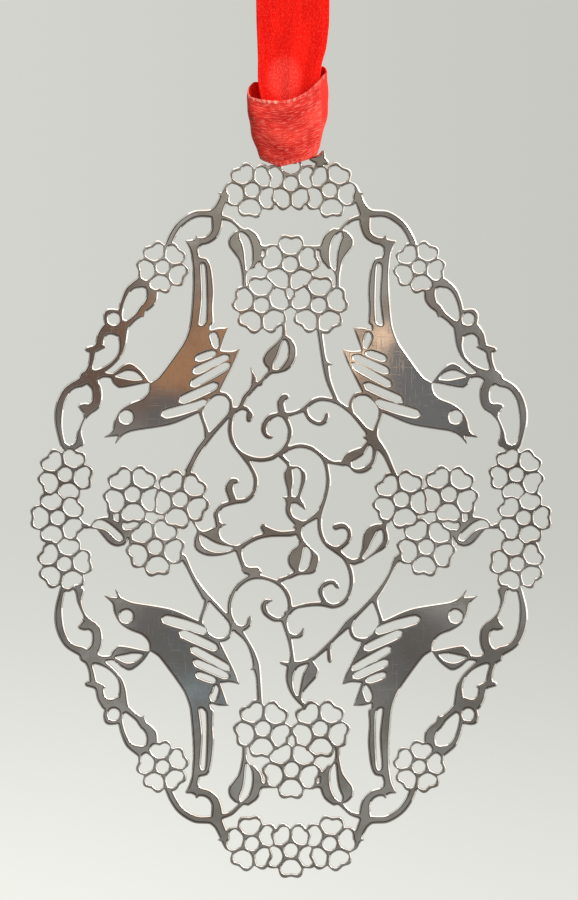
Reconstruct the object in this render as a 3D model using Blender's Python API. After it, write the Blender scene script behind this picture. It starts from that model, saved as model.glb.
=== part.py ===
# Pierced silver ornament, hung on a satin ribbon that is hitched round its top rim.
# Lengths are in millimetres and are scaled to metres as each mesh is made.
# X runs right, Z up, and the sheet faces -Y. The world origin is the point inside
# the top of the ribbon's loop where a hook bears.

import math

import bmesh
import bpy
import numpy as np
from mathutils import Matrix

MM = 0.001
CORNER = True

# Sheet
SHEET_WIDTH = 70.4
SHEET_HEIGHT = 98.1
SHEET_THICKNESS = 0.5
PIERCING_OVERRUN = 0.4
FACET_TURN = 30.0
FACET_SAG = 0.13
FINEST_STEP = 0.06
FLAT_TURN = 1.0
SPIKE_TURN = 170.0
SMALLEST_HOLE = 0.5

# Blossom of size 1, measured from its centre; angles from a petal's middle, in degrees
LOBE_RADIUS = 3.55
LOBE_TURN = 17.0
VALLEY_RADIUS = 2.85
EYE_RADIUS = 0.95
EYE_WALL = 0.38
PETAL_WALL = 0.4
RIM_WALL = 0.45
PETAL_WAIST = 2.25
SHARED_WALL = 0.4
WEB_WIDTH = 0.8
WEB_REACH = 0.7
WEB_GAP = 0.6

# Size of the blossoms by place
ROW_SIZE = 1.0
CLUSTER_SIZE = 1.06
CORNER_SIZE = 0.94

# Bird's eye
BIRD_EYE_RADIUS = 0.9

# Ribbon
RIBBON_WIDTH = 10.0
RIBBON_THICKNESS = 0.3
LAYER_GAP = 0.5
HANG_HEIGHT = 36.82
LOOP_RADIUS = 3.4
PIECE_GAP = 0.3
TAIL_WIDTH = 8.7

# Hitch, its heights from the swing axis in the rim
TURN_THICKNESS = 0.35
TURN_CLEARANCE = 0.12
STRAND_GAP = 0.28
CUFF_WIDTH = 11.2
CUFF_FOOT_WIDTH = 7.8
CUFF_DEPTH = 4.2
CUFF_FOOT_DEPTH = 3.6
CUFF_LEAN = 0.3
CUFF_FOOT = -0.23
CUFF_FOOT_SLANT = 0.4
CUFF_FOOT_LIFT = 0.8
CUFF_HEAD = 10.3
CUFF_HEAD_SLANT = 1.6
CUFF_HEAD_TILT = 1.9
CUFF_HEAD_LIFT = 0.7
TAIL_SHOWING = 2.9

# Blossoms: centre, turn of the first petal, size
MIDDLE_BLOSSOM = ((0.0, 45.5), 18, ROW_SIZE)
ROW_BLOSSOM = ((5.3, 44.6), 60, ROW_SIZE)
CORNER_BLOSSOM = ((17.5, 34.1), 62, CORNER_SIZE)
SIDE_BLOSSOMS = (
    ((30.8, 5.8), 45, ROW_SIZE),
    ((31.8, -0.1), 0, ROW_SIZE),
    ((30.9, -6.4), 30, ROW_SIZE),
)
TOP_CLUSTER = (
    ((-0.1, 34.5), 16, CLUSTER_SIZE),
    ((-4.0, 28.9), 20, CLUSTER_SIZE),
    ((3.8, 28.9), 15, CLUSTER_SIZE),
)
RIGHT_CLUSTER = (
    ((21.6, 3.1), 52, CLUSTER_SIZE),
    ((15.1, 2.4), 64, CLUSTER_SIZE),
    ((18.5, -4.1), 48, CLUSTER_SIZE),
)

# Size that the pattern's numbers are drawn for
DRAWN_WIDTH = 70.4
DRAWN_HEIGHT = 98.1

# A quarter of the pattern, upper right, mirrored to the other three.
# Lines are (x, z, width); outlines are (x, z) with the corners marked.
QUARTER_LINES = (
    # web from the row of blossoms, its spike, and the thread to the bud
    ((7.8, 44.6, 1.1), (9.0, 43.7, 1.4), (9.8, 42.4, 1.2), (10.2, 41.2, 1.4)),
    ((8.6, 44.0, 0.8), (9.9, 44.1, 0.2)),
    ((10.1, 41.1, 0.8), (8.2, 40.5, 0.6), (7.3, 39.8, 0.6), (6.6, 39.0, 0.7)),
    # arch to the corner blossom
    (
        (9.8, 42.2, 1.2), (10.8, 41.4, 1.2), (11.9, 41.3, 1.0), (13.0, 41.3, 1.0),
        (14.2, 40.7, 1.0), (15.2, 39.9, 1.0), (16.1, 38.6, 1.0), (16.7, 37.3, 1.0),
        (17.1, 36.1, 1.0),
    ),
    # curve into the bird's tail
    (
        (10.3, 41.6, 1.2), (10.3, 40.2, 1.2), (10.3, 39.1, 1.2), (10.9, 38.2, 1.0),
        (12.0, 37.6, 0.8), (13.2, 36.8, 1.1),
    ),
    # scroll below the corner blossom: outer band, inner curve, curl and spike
    (
        (19.2, 32.6, 1.2), (20.3, 31.8, 1.0), (21.2, 31.5, 1.0), (22.0, 30.8, 1.0),
        (22.6, 29.7, 1.0), (23.0, 28.6, 1.0), (23.1, 27.2, 1.1),
    ),
    (
        (19.2, 32.0, 1.2), (18.8, 30.7, 1.1), (18.8, 29.6, 1.1), (19.5, 28.8, 1.0),
        (20.3, 28.1, 1.0), (21.6, 27.4, 0.9), (22.8, 26.7, 1.1),
    ),
    ((19.7, 28.9, 0.8), (20.5, 29.1, 0.8)),
    ((20.1, 28.3, 1.0), (20.1, 27.2, 0.2)),
    # spine, the bud on it and the right branch with its spikes
    (
        (22.9, 27.9, 1.1), (22.7, 26.4, 1.4), (22.9, 25.0, 1.2), (23.1, 23.8, 1.0),
        (23.5, 22.5, 0.8), (24.2, 21.3, 0.7), (25.3, 20.3, 0.8), (26.6, 19.3, 1.4),
    ),
    ((22.9, 27.6, 0.7), (24.2, 28.1, 0.6), (25.1, 28.0, 0.6), (25.3, 27.0, 0.6), (24.7, 25.9, 0.8)),
    (
        (22.9, 25.0, 1.2), (24.0, 25.3, 1.2), (25.1, 25.4, 1.2), (25.9, 24.6, 1.2),
        (26.2, 23.6, 1.1), (26.7, 22.4, 1.0), (27.0, 21.2, 0.9), (27.4, 20.1, 1.1),
        (28.1, 18.9, 1.4),
    ),
    ((26.6, 22.9, 0.8), (27.8, 22.7, 0.2)),
    ((26.3, 23.5, 0.7), (25.5, 22.9, 0.2)),
    # scroll beside the side blossoms: outer band, inner curve and curl
    (
        (26.3, 19.5, 1.4), (27.4, 19.0, 1.7), (28.4, 18.5, 1.2), (29.3, 17.9, 1.0),
        (30.3, 17.2, 1.1), (31.1, 16.2, 1.1), (31.6, 14.8, 1.2), (31.7, 13.4, 1.2),
        (31.6, 12.2, 1.1), (31.3, 11.0, 1.0), (30.7, 9.4, 1.1),
    ),
    (
        (27.3, 18.6, 1.6), (26.6, 17.7, 1.2), (26.3, 16.6, 1.1), (26.6, 15.6, 1.0),
        (27.5, 14.6, 1.0), (28.4, 13.4, 0.8), (29.0, 12.4, 0.8), (29.3, 11.1, 1.1),
        (29.5, 9.5, 1.2),
    ),
    ((27.6, 14.7, 0.9), (28.9, 15.3, 0.8)),
    # stalk of the border leaf
    ((24.0, 19.2, 0.8), (25.4, 19.4, 0.7), (26.8, 19.3, 1.2)),
    # loop between the wing and the vines
    ((10.1, 16.8, 0.7), (9.0, 16.7, 0.6), (8.3, 16.0, 0.6), (8.1, 15.1, 0.6), (8.4, 14.0, 0.7)),
    ((12.4, 14.8, 0.9), (12.0, 13.4, 0.7), (11.6, 12.1, 0.7), (11.4, 10.6, 0.9)),
    # web from the bud to the cluster, and its stalk
    ((4.6, 36.8, 0.8), (2.9, 36.6, 0.8)),
    ((6.3, 33.8, 0.8), (6.4, 32.4, 0.7), (6.3, 30.6, 0.7)),
)
QUARTER_OUTLINES = (
    # bird
    (
        (12.8, 38.3, CORNER), (13.4, 37.6, CORNER), (14.4, 37.6, CORNER), (13.8, 36.3),
        (13.5, 34.6), (13.4, 31.7), (13.6, 28.9), (13.9, 25.9), (14.6, 24.0), (15.6, 22.5),
        (16.7, 20.9), (18.2, 19.0), (19.3, 18.3, CORNER), (19.5, 17.1), (20.3, 16.2), (22.0, 15.5),
        (23.3, 14.6), (24.2, 13.0), (24.4, 11.9), (25.5, 10.8, CORNER), (23.7, 11.0, CORNER),
        (24.0, 9.9, CORNER), (22.9, 11.1), (21.8, 11.6), (20.3, 11.8), (18.3, 12.1), (16.2, 12.6),
        (14.3, 13.3), (12.3, 14.3, CORNER), (10.9, 15.7), (9.6, 17.1, CORNER), (9.3, 18.0),
        (8.4, 19.6), (7.4, 21.6), (7.0, 22.9, CORNER), (8.3, 22.6), (9.6, 22.7, CORNER),
        (9.1, 24.4), (8.5, 25.8, CORNER), (9.8, 25.8), (11.0, 25.5, CORNER), (10.8, 27.4),
        (10.5, 30.9), (10.9, 34.1), (11.5, 35.3), (12.4, 35.4, CORNER), (12.6, 36.7),
    ),
    # border leaf
    (
        (19.2, 18.3, CORNER), (19.9, 19.4), (20.9, 20.4), (22.0, 21.0), (23.1, 20.6), (24.0, 19.9),
        (24.8, 19.2, CORNER), (24.4, 18.3), (23.6, 17.6), (22.5, 17.7), (21.4, 18.0), (20.3, 18.2),
    ),
    # bud beside the cluster
    (
        (6.4, 39.4, CORNER), (7.3, 39.1), (8.5, 37.9), (8.4, 36.7), (7.4, 35.6), (7.0, 34.5),
        (6.7, 33.0, CORNER), (5.9, 33.0, CORNER), (5.1, 34.3), (4.2, 35.6), (4.0, 36.9),
        (4.7, 38.2), (5.5, 39.2),
    ),
)
QUARTER_SLITS = (
    # tail, feather and leaf
    (
        (11.9, 34.9, CORNER), (12.3, 34.2), (12.1, 32.3), (12.1, 29.8), (12.4, 28.1),
        (12.5, 26.2, CORNER), (12.1, 26.2), (11.6, 28.2), (11.5, 30.6), (11.5, 33.1),
    ),
    ((9.9, 23.5), (10.1, 24.4), (10.6, 25.2), (11.0, 24.6), (10.6, 23.8), (10.2, 23.0)),
    (
        (20.2, 18.8, CORNER), (21.2, 19.7), (22.4, 19.9), (24.0, 19.2, CORNER), (22.5, 19.0),
        (21.4, 18.7),
    ),
    # bud
    ((6.6, 38.7, CORNER), (5.7, 37.3), (5.3, 35.7), (6.0, 33.6, CORNER), (6.2, 35.0), (6.4, 36.5)),
)
QUARTER_SLOTS = (
    ((10.6, 22.3, 0.7), (12.6, 21.6, 0.7)),
    ((8.9, 21.7, 0.8), (11.1, 20.8, 0.8), (12.9, 19.9, 0.8)),
    ((8.7, 20.7, 0.8), (11.1, 19.4, 0.9), (13.3, 18.1, 0.8)),
    ((10.4, 17.9, 0.8), (12.7, 16.9, 1.0), (14.8, 15.9, 0.9)),
    ((11.8, 15.6, 0.8), (14.3, 14.7, 1.0), (17.2, 14.0, 0.9)),
)
QUARTER_EYE = (22.5, 13.6)

# The right half of what is alike on the left
HALF_LINES = (
    # stems from the clusters to the vines
    ((14.5, 5.1, 0.8), (13.5, 7.0, 0.7), (12.8, 8.5, 0.7), (11.7, 10.0, 0.9), (11.1, 11.1, 0.9)),
    (
        (14.9, -5.3, 0.8), (13.7, -7.6, 0.6), (12.1, -10.0, 0.7), (10.6, -11.7, 0.7),
        (9.3, -13.1, 0.7), (8.1, -14.3, 0.8), (7.1, -15.4, 1.0),
    ),
    # threads from the side leaves
    ((28.9, -0.9, 0.8), (27.2, -1.4, 0.7)),
    ((24.7, 1.0, 1.0), (24.0, -0.3, 1.1)),
    ((22.9, 0.1, 0.8), (23.1, -1.6, 1.0)),
)
HALF_OUTLINES = (
    # side leaf
    (
        (27.6, -1.4, CORNER), (26.7, -0.4), (25.3, 0.2), (23.9, 0.0), (22.8, -1.0), (22.2, -2.3),
        (22.5, -3.4), (23.6, -4.2), (24.7, -3.7), (25.7, -2.5), (26.5, -1.8),
    ),
)
HALF_SLITS = (
    (
        (27.1, -1.2, CORNER), (26.1, -0.6), (25.1, -0.5), (24.0, -1.4), (23.0, -2.7, CORNER),
        (24.4, -2.4), (25.7, -1.7),
    ),
)

# The vines in the middle, each once
VINE_LINES = (
    # upper left: leaf stalk, thorn, hook and the way to the left bird
    ((-1.3, 28.7, 0.8), (-1.0, 26.5, 0.6), (-0.8, 24.4, 0.7)),
    ((-2.6, 20.1, 0.7), (-4.0, 18.5, 0.6), (-5.3, 17.5, 0.8), (-6.3, 16.3, 0.8), (-7.0, 14.8, 0.8)),
    ((-5.3, 17.3, 1.0), (-5.0, 18.9, 0.7), (-5.5, 20.3, 0.2)),
    ((-7.6, 14.6, 0.8), (-6.6, 14.9, 0.7), (-5.7, 14.4, 0.7), (-5.6, 13.5, 0.8)),
    (
        (-6.8, 14.9, 0.8), (-8.2, 14.2, 0.7), (-9.3, 13.1, 0.7), (-10.2, 12.0, 0.7),
        (-11.1, 11.0, 0.9),
    ),
    # upper ring, its inner curl and spur
    (
        (-7.5, 14.8, 0.8), (-8.1, 13.6, 0.7), (-8.3, 11.8, 0.7), (-8.0, 10.3, 0.7),
        (-7.0, 8.8, 0.7), (-5.6, 8.0, 0.8), (-4.0, 7.8, 0.7), (-2.5, 8.1, 0.7), (-1.2, 9.0, 0.7),
        (-0.4, 10.2, 0.7), (-0.1, 11.7, 0.7), (-0.5, 13.0, 0.7), (-1.0, 13.9, 0.8),
    ),
    (
        (-0.5, 13.6, 0.8), (-1.6, 14.0, 0.7), (-2.7, 13.7, 0.8), (-3.5, 12.8, 0.9),
        (-3.7, 11.8, 0.8), (-3.2, 11.0, 0.7), (-2.7, 10.9, 0.6),
    ),
    ((-1.0, 13.7, 1.0), (-1.4, 15.2, 1.0), (-1.3, 16.1, 0.7), (-0.8, 16.6, 0.2)),
    # branch to the right bird, its hook, and the stem from the cluster above
    (
        (-1.0, 13.9, 0.8), (0.5, 14.1, 0.7), (1.8, 14.7, 0.8), (2.9, 15.7, 0.7), (4.0, 16.1, 0.7),
        (5.2, 16.0, 0.7), (6.4, 15.6, 0.7), (8.2, 14.3, 0.7), (9.3, 13.1, 0.7), (10.2, 12.0, 0.7),
        (11.1, 11.0, 1.0),
    ),
    (
        (1.8, 14.9, 0.8), (2.3, 13.7, 0.7), (3.0, 13.0, 0.7), (3.9, 12.7, 0.7), (4.7, 13.2, 0.8),
        (4.9, 14.0, 0.7),
    ),
    (
        (3.8, 26.1, 0.8), (4.2, 23.8, 0.7), (4.4, 21.9, 0.8), (4.8, 20.3, 1.0), (5.1, 18.6, 0.8),
        (5.7, 17.1, 0.7), (6.4, 15.5, 0.8),
    ),
    ((4.6, 21.2, 0.8), (5.7, 20.7, 0.2)),
    # joint by the right bird
    ((10.8, 11.7, 0.8), (11.3, 10.4, 1.3), (11.6, 9.2, 1.0)),
    ((11.2, 10.9, 0.8), (10.0, 10.8, 0.2)),
    # upper arch to the right leaf and the long curve down the right side
    (
        (8.6, 6.9, 0.7), (7.0, 7.2, 0.5), (5.6, 7.4, 0.6), (4.6, 7.8, 0.8), (3.8, 8.7, 0.7),
        (2.7, 9.4, 0.7), (1.2, 9.7, 0.7), (-0.1, 9.4, 0.7), (-1.4, 8.7, 0.8),
    ),
    (
        (4.5, 8.1, 0.8), (5.0, 6.3, 0.7), (5.1, 4.7, 0.7), (4.8, 2.9, 0.7), (4.2, 1.3, 0.8),
        (3.9, -0.3, 0.7), (4.0, -2.0, 0.7), (4.8, -3.7, 0.7), (6.2, -4.5, 0.9), (7.4, -5.7, 0.7),
        (8.1, -7.3, 0.7), (8.3, -8.9, 0.7), (8.0, -10.4, 0.7), (7.1, -11.7, 0.7),
        (5.7, -12.2, 0.7), (4.6, -11.9, 0.8),
    ),
    (
        (5.1, -12.1, 0.8), (4.2, -11.0, 0.8), (4.1, -9.9, 0.8), (4.9, -9.0, 0.7), (5.9, -9.0, 0.7),
        (6.4, -9.6, 0.6),
    ),
    (
        (6.1, -4.6, 1.0), (7.3, -3.8, 0.7), (8.0, -2.8, 0.7), (7.9, -1.8, 0.7), (7.1, -1.2, 0.8),
        (6.3, -1.4, 0.6),
    ),
    # stalk, curl and spikes of the leaf in the middle
    ((-1.6, 8.6, 0.8), (-0.7, 7.6, 0.6), (0.3, 6.6, 0.7)),
    ((-0.5, 2.4, 0.8), (-1.0, 2.6, 0.3)),
    ((0.7, 2.7, 0.8), (1.4, 1.8, 0.8), (1.9, 1.0, 0.3)),
    ((0.0, 2.9, 1.2), (-0.2, 1.8, 1.0), (-0.4, 0.9, 0.8), (0.1, -0.2, 0.8), (1.2, -1.0, 1.1)),
    ((0.7, -1.3, 1.0), (1.8, -1.0, 0.9), (2.9, -0.3, 0.8), (4.0, 0.7, 1.0)),
    # joint in the middle, its left branch with the thorn, and the way down
    (
        (1.5, -0.8, 1.0), (1.0, -2.0, 0.8), (-1.0, -2.3, 0.8), (-2.9, -2.4, 0.8),
        (-4.8, -2.9, 0.7), (-6.1, -3.6, 0.8), (-7.2, -4.4, 1.1),
    ),
    ((-1.2, -2.4, 0.8), (-2.9, -2.0, 1.0), (-3.8, -1.0, 0.2)),
    ((1.0, -1.3, 1.0), (1.4, -2.8, 0.7), (1.8, -4.0, 0.7)),
    # lower left of the upper ring, its spur and the left leaf
    (
        (-6.6, 8.4, 0.8), (-5.5, 6.9, 0.7), (-4.8, 5.1, 0.7), (-5.0, 3.5, 0.7), (-6.1, 2.3, 0.7),
        (-7.9, 2.0, 0.7), (-9.4, 1.5, 0.7), (-10.2, 0.4, 0.8), (-9.8, -1.4, 1.0),
    ),
    ((-10.0, -1.0, 0.8), (-8.8, -1.1, 0.2)),
    ((-7.7, 2.0, 0.8), (-8.4, 3.8, 1.0), (-8.0, 4.9, 0.8)),
    ((-13.6, 0.3, 0.7), (-13.2, -1.0, 0.5), (-12.3, -2.3, 0.7)),
    # way down from the left leaf, its block and the lower ring with its curl
    ((-7.2, -4.2, 1.1), (-6.8, -6.1, 0.8), (-6.0, -7.5, 1.0)),
    ((-6.3, -7.3, 1.1), (-4.5, -7.5, 1.3)),
    (
        (-7.0, -15.3, 0.8), (-8.0, -14.3, 0.7), (-8.4, -12.5, 0.7), (-8.1, -10.9, 0.7),
        (-7.2, -9.4, 0.7), (-5.6, -8.3, 0.8), (-4.0, -8.2, 0.7), (-2.3, -8.7, 0.7),
        (-1.1, -9.6, 0.7), (-0.3, -11.0, 0.7), (-0.1, -12.4, 0.7), (-0.6, -13.9, 0.8),
    ),
    (
        (-0.3, -13.4, 0.8), (-1.6, -14.1, 0.7), (-2.9, -13.6, 0.8), (-3.7, -12.5, 0.9),
        (-3.4, -11.6, 0.8), (-2.7, -11.5, 0.5),
    ),
    ((1.0, -7.4, 0.8), (-0.3, -8.2, 0.6), (-1.6, -8.7, 0.7)),
    # joint by the lower left bird, its hook, and the stem down to the cluster
    (
        (-8.3, -13.9, 1.0), (-7.4, -15.3, 1.2), (-6.4, -15.2, 0.8), (-5.7, -14.5, 0.7),
        (-5.6, -13.7, 0.5),
    ),
    (
        (-7.2, -15.4, 1.0), (-6.0, -16.9, 0.7), (-5.2, -18.6, 0.8), (-4.8, -20.1, 1.1),
        (-4.5, -21.9, 0.7), (-4.4, -23.7, 0.7), (-4.2, -25.9, 0.8),
    ),
    ((-4.8, -20.4, 0.8), (-5.5, -20.9, 0.2)),
    # lower middle: arm to the right curl, stem with hook and thorn
    (
        (-0.5, -13.2, 0.8), (0.5, -12.4, 0.6), (2.3, -12.0, 0.6), (4.2, -11.9, 0.7),
        (5.3, -12.1, 0.7),
    ),
    (
        (-0.5, -13.0, 0.8), (-0.9, -14.4, 0.9), (-0.5, -15.8, 0.8), (0.0, -17.4, 0.7),
        (0.2, -19.0, 0.7), (0.1, -20.7, 1.1),
    ),
    ((-0.5, -16.0, 0.8), (0.5, -16.4, 0.7), (1.4, -16.0, 0.7), (1.7, -15.3, 0.3)),
    ((0.0, -20.3, 0.8), (-1.4, -19.9, 0.4)),
    # vine from the lower right bird to the last leaf, with its thorn
    (
        (7.8, -14.5, 0.9), (6.4, -16.2, 0.7), (4.9, -17.7, 0.7), (3.3, -19.2, 0.7),
        (1.8, -19.9, 0.7), (0.1, -20.2, 0.8),
    ),
    ((5.2, -17.5, 0.7), (5.3, -19.7, 0.6)),
    # thread of the right leaf
    ((13.4, 0.1, 1.0), (12.8, -1.2, 0.7), (12.3, -2.3, 0.7)),
    ((7.2, -5.4, 0.7), (8.5, -6.2, 0.8), (10.0, -5.7, 0.6)),
)
VINE_OUTLINES = (
    (
        (-0.8, 24.9, CORNER), (-1.8, 23.7), (-2.9, 22.6), (-3.7, 21.5), (-3.4, 20.5),
        (-2.7, 19.6, CORNER), (-1.5, 19.6), (-0.4, 20.1), (0.5, 21.4), (0.5, 22.6), (0.0, 23.8),
    ),
    (
        (11.0, 10.2, CORNER), (10.2, 9.3), (8.9, 8.9), (7.6, 8.4), (7.1, 7.7), (7.9, 7.0, CORNER),
        (8.6, 6.4), (9.6, 6.1), (10.7, 6.8), (11.5, 7.9), (11.7, 9.1),
    ),
    (
        (0.0, 7.0, CORNER), (-0.5, 6.2), (-0.9, 5.1), (-0.6, 3.9), (-0.5, 2.3, CORNER),
        (1.0, 2.4, CORNER), (1.7, 3.9), (2.1, 5.1), (1.7, 6.3), (0.9, 7.0),
    ),
    (
        (-12.8, -2.2, CORNER), (-11.3, -1.5), (-9.8, -1.4), (-9.6, -2.7), (-8.6, -3.6),
        (-6.9, -4.0, CORNER), (-7.5, -4.6), (-8.9, -5.1), (-10.5, -5.3), (-11.9, -4.9),
        (-12.9, -4.0), (-13.0, -2.9),
    ),
    (
        (1.7, -3.5, CORNER), (0.8, -4.5), (-0.3, -5.5), (-0.4, -6.3), (0.1, -7.2),
        (0.8, -7.8, CORNER), (1.9, -7.8), (2.9, -7.8), (3.5, -7.2), (3.8, -6.2), (3.1, -5.0),
        (2.4, -4.2),
    ),
    (
        (0.1, -20.0, CORNER), (-0.4, -21.1), (-0.5, -22.5), (-0.1, -23.7), (0.6, -24.8),
        (1.5, -25.7, CORNER), (1.6, -24.2), (2.6, -23.1), (3.5, -21.9), (3.8, -20.9),
        (2.9, -19.5, CORNER), (1.6, -19.7),
    ),
    (
        (12.6, -1.0, CORNER), (13.1, -2.3), (13.3, -3.2), (12.8, -4.1), (11.2, -5.2),
        (8.3, -6.5, CORNER), (9.4, -5.5), (9.8, -4.2), (9.8, -2.9), (10.1, -1.8), (11.0, -1.0),
        (11.9, -1.1),
    ),
)
VINE_SLITS = (
    (
        (-0.8, 24.2, CORNER), (-0.3, 23.2), (-0.6, 21.9), (-1.4, 20.7), (-2.5, 20.3, CORNER),
        (-1.9, 21.6), (-1.3, 23.0),
    ),
    (
        (10.9, 9.6, CORNER), (10.2, 8.5), (9.3, 7.6), (8.3, 7.0, CORNER), (9.5, 6.6), (10.5, 7.3),
        (11.0, 8.3),
    ),
    (
        (0.5, 6.6, CORNER), (1.3, 6.0), (1.4, 4.8), (0.9, 3.5), (0.1, 2.7, CORNER), (0.3, 3.9),
        (0.4, 5.3),
    ),
    (
        (-12.4, -2.4, CORNER), (-11.1, -3.3), (-9.6, -3.9), (-7.8, -4.2, CORNER), (-9.6, -4.8),
        (-11.1, -4.7), (-12.0, -3.8),
    ),
    (
        (2.0, -4.0, CORNER), (2.6, -4.8), (2.5, -5.9), (1.9, -7.1), (1.2, -7.6, CORNER),
        (1.4, -6.3), (1.6, -5.3),
    ),
    (
        (2.3, -20.1, CORNER), (1.6, -21.5), (1.2, -23.0), (0.9, -24.8, CORNER), (0.3, -23.5),
        (0.3, -21.9), (1.0, -20.6),
    ),
    (
        (12.1, -2.0, CORNER), (12.6, -2.5), (12.3, -3.3), (11.3, -4.5), (9.6, -5.7, CORNER),
        (10.5, -4.4), (11.3, -3.2),
    ),
)
# Spike beside the ribbon, on the right only
RIBBON_SPIKE = ((3.7, 47.4, 1.1), (4.2, 48.7, 0.9), (4.4, 49.8, 0.5))


def facetted(points, sharp, closed):
    """A smooth line through the points, cut where it turns; columns past the second go along with it."""
    points = np.array(points, float)
    flat = points[:, :2]
    ends = np.roll(points, -1, axis=0)
    count = len(points) if closed else len(points) - 1
    chords = ends[:, :2] - flat
    lengths = np.linalg.norm(chords, axis=1)

    def heading(index, chord):
        open_end = not closed and index in (0, len(points) - 1)
        if sharp[index] or open_end:
            return chord / np.linalg.norm(chord)
        way = chords[index - 1] / lengths[index - 1] ** 2 + chords[index] / lengths[index] ** 2
        return way / np.linalg.norm(way)

    line = []
    for index in range(count):
        chord = chords[index]
        leaving = heading(index, chord)
        arriving = heading((index + 1) % len(points), chord)
        straight = chord / lengths[index]
        turn = sum(math.acos(np.clip(straight @ way, -1, 1)) for way in (leaving, arriving))
        steps = max(1, math.ceil(math.degrees(turn) / FACET_TURN))
        for step in range(steps):
            t = step / steps
            place = points[index] * (1 - t) + ends[index] * t
            place[:2] = (
                flat[index] * (1 + 2 * t) * (1 - t) ** 2
                + ends[index, :2] * t * t * (3 - 2 * t)
                + leaving * lengths[index] * t * (1 - t) ** 2
                - arriving * lengths[index] * t * t * (1 - t)
            )
            line.append(place)
    if not closed:
        line.append(points[-1])
    return np.array(line)


def along(line):
    """Unit direction of a line at each of its points."""
    way = np.gradient(line[:, :2], axis=0)
    return way / np.linalg.norm(way, axis=1, keepdims=True)


def crosses(rim):
    """Whether a closed line runs over itself."""
    ends = np.roll(rim, -1, axis=0)
    ways = (ends - rim)[:, None]

    def side(points):
        off = points[None] - rim[:, None]
        return ways[..., 0] * off[..., 1] - ways[..., 1] * off[..., 0]

    apart = side(rim) * side(ends) < 0
    return bool((apart & apart.T).any())


def without_spikes(rim):
    """The same closed line without the points at which it only turns back."""
    arriving = rim - np.roll(rim, 1, axis=0)
    leaving = np.roll(arriving, -1, axis=0)
    lengths = np.linalg.norm(arriving, axis=1) * np.linalg.norm(leaving, axis=1)
    spike = (arriving * leaving).sum(axis=1) < lengths * math.cos(math.radians(SPIKE_TURN))
    return without_spikes(rim[~spike]) if spike.any() else rim


def thinned(rim, sag):
    """The same closed line with no more points than its curves need."""
    stops = np.vstack((rim, rim[:1]))

    def kept(first, last):
        if last - first < 2:
            return []
        chord = stops[last] - stops[first]
        off = stops[first + 1 : last] - stops[first]
        away = np.linalg.norm(off - np.outer(off @ chord / (chord @ chord), chord), axis=1)
        if away.max() < sag:
            return []
        split = first + 1 + int(away.argmax())
        return kept(first, split) + [split] + kept(split, last)

    far = int(np.linalg.norm(rim - rim[0], axis=1).argmax())
    line = rim[[0, *kept(0, far), far, *kept(far, len(rim))]]
    line = line[np.linalg.norm(line - np.roll(line, 1, axis=0), axis=1) > FINEST_STEP]
    return thinned(rim, sag / 2) if crosses(line) and sag > FINEST_STEP / 4 else line


def enclosed(rim):
    """Area inside a closed line."""
    x, z = rim.T
    return abs(x @ np.roll(z, -1) - z @ np.roll(x, -1)) / 2


def line_outline(points):
    """Outline of a tapered line; each end closes half a width on."""
    line = facetted(points, [False] * len(points), False)
    way = along(line)
    half = line[:, 2:3] / 2
    side = np.stack((-way[:, 1], way[:, 0]), axis=1) * half
    middle = line[:, :2]
    tips = middle[[0, -1]] + way[[0, -1]] * half[[0, -1]] * [[-1], [1]]
    return np.vstack((tips[:1], middle + side, tips[1:], (middle - side)[::-1]))


def closed_outline(points):
    """Smooth closed outline that keeps its marked corners."""
    return facetted([p[:2] for p in points], [len(p) == 3 for p in points], True)


def ring(centre, radius, corners):
    """Regular outline round a centre."""
    turns = np.arange(corners) * 2 * math.pi / corners
    return np.array(centre) + radius * np.stack((np.cos(turns), np.sin(turns)), axis=1)


def polar(centre, turn, spots):
    """Points given as (angle, radius) from a centre, angles counted from the turn."""
    angles = np.radians([turn + spot[0] for spot in spots])
    radii = np.array([spot[1] for spot in spots])
    return np.array(centre) + np.stack((np.cos(angles), np.sin(angles)), axis=1) * radii[:, None]


def blossom_outline(centre, turn, size):
    """Five lobed petals round a centre."""
    petal = (
        (-36, VALLEY_RADIUS * size),
        (-LOBE_TURN, LOBE_RADIUS * size),
        (LOBE_TURN, LOBE_RADIUS * size),
    )
    return np.vstack([polar(centre, turn + 72 * k, petal) for k in range(5)])


def petal_holes(centre, turn, size):
    """The five petals, each inside its walls."""

    def side(radius, wall):
        return 36 - math.degrees(math.asin(wall / 2 / radius))

    inner = EYE_RADIUS * size + EYE_WALL
    waist = PETAL_WAIST * size
    tip = LOBE_RADIUS * size - RIM_WALL
    petal = (
        (0, inner),
        (-side(waist, PETAL_WALL), waist),
        (-LOBE_TURN, tip),
        (LOBE_TURN, tip),
        (side(waist, PETAL_WALL), waist),
    )
    return [polar(centre, turn + 72 * k, petal) for k in range(5)]


def kept_side(outline, point, normal):
    """The part of an outline behind a straight edge."""
    depth = (outline - point) @ normal
    kept = []
    for index in range(len(outline)):
        here, there = outline[index - 1], outline[index]
        a, b = depth[index - 1], depth[index]
        if a * b < 0:
            kept.append(here + (there - here) * a / (a - b))
        if b <= 0:
            kept.append(there)
    return np.array(kept)


def mirrored(points, sx, sz):
    """Points of an outline or line on the other side of an axis."""
    return [(p[0] * sx, p[1] * sz, *p[2:]) for p in points]


def mirrored_blossom(blossom, sx, sz):
    (x, z), turn, size = blossom
    turn = 180 - turn if sx < 0 else turn
    turn = -turn if sz < 0 else turn
    return (x * sx, z * sz), turn, size


def turned_blossom(blossom):
    (x, z), turn, size = blossom
    return (-x, -z), turn + 180, size


QUARTERS = ((1, 1), (-1, 1), (1, -1), (-1, -1))
SIDES = ((1, 1), (-1, 1))

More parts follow.
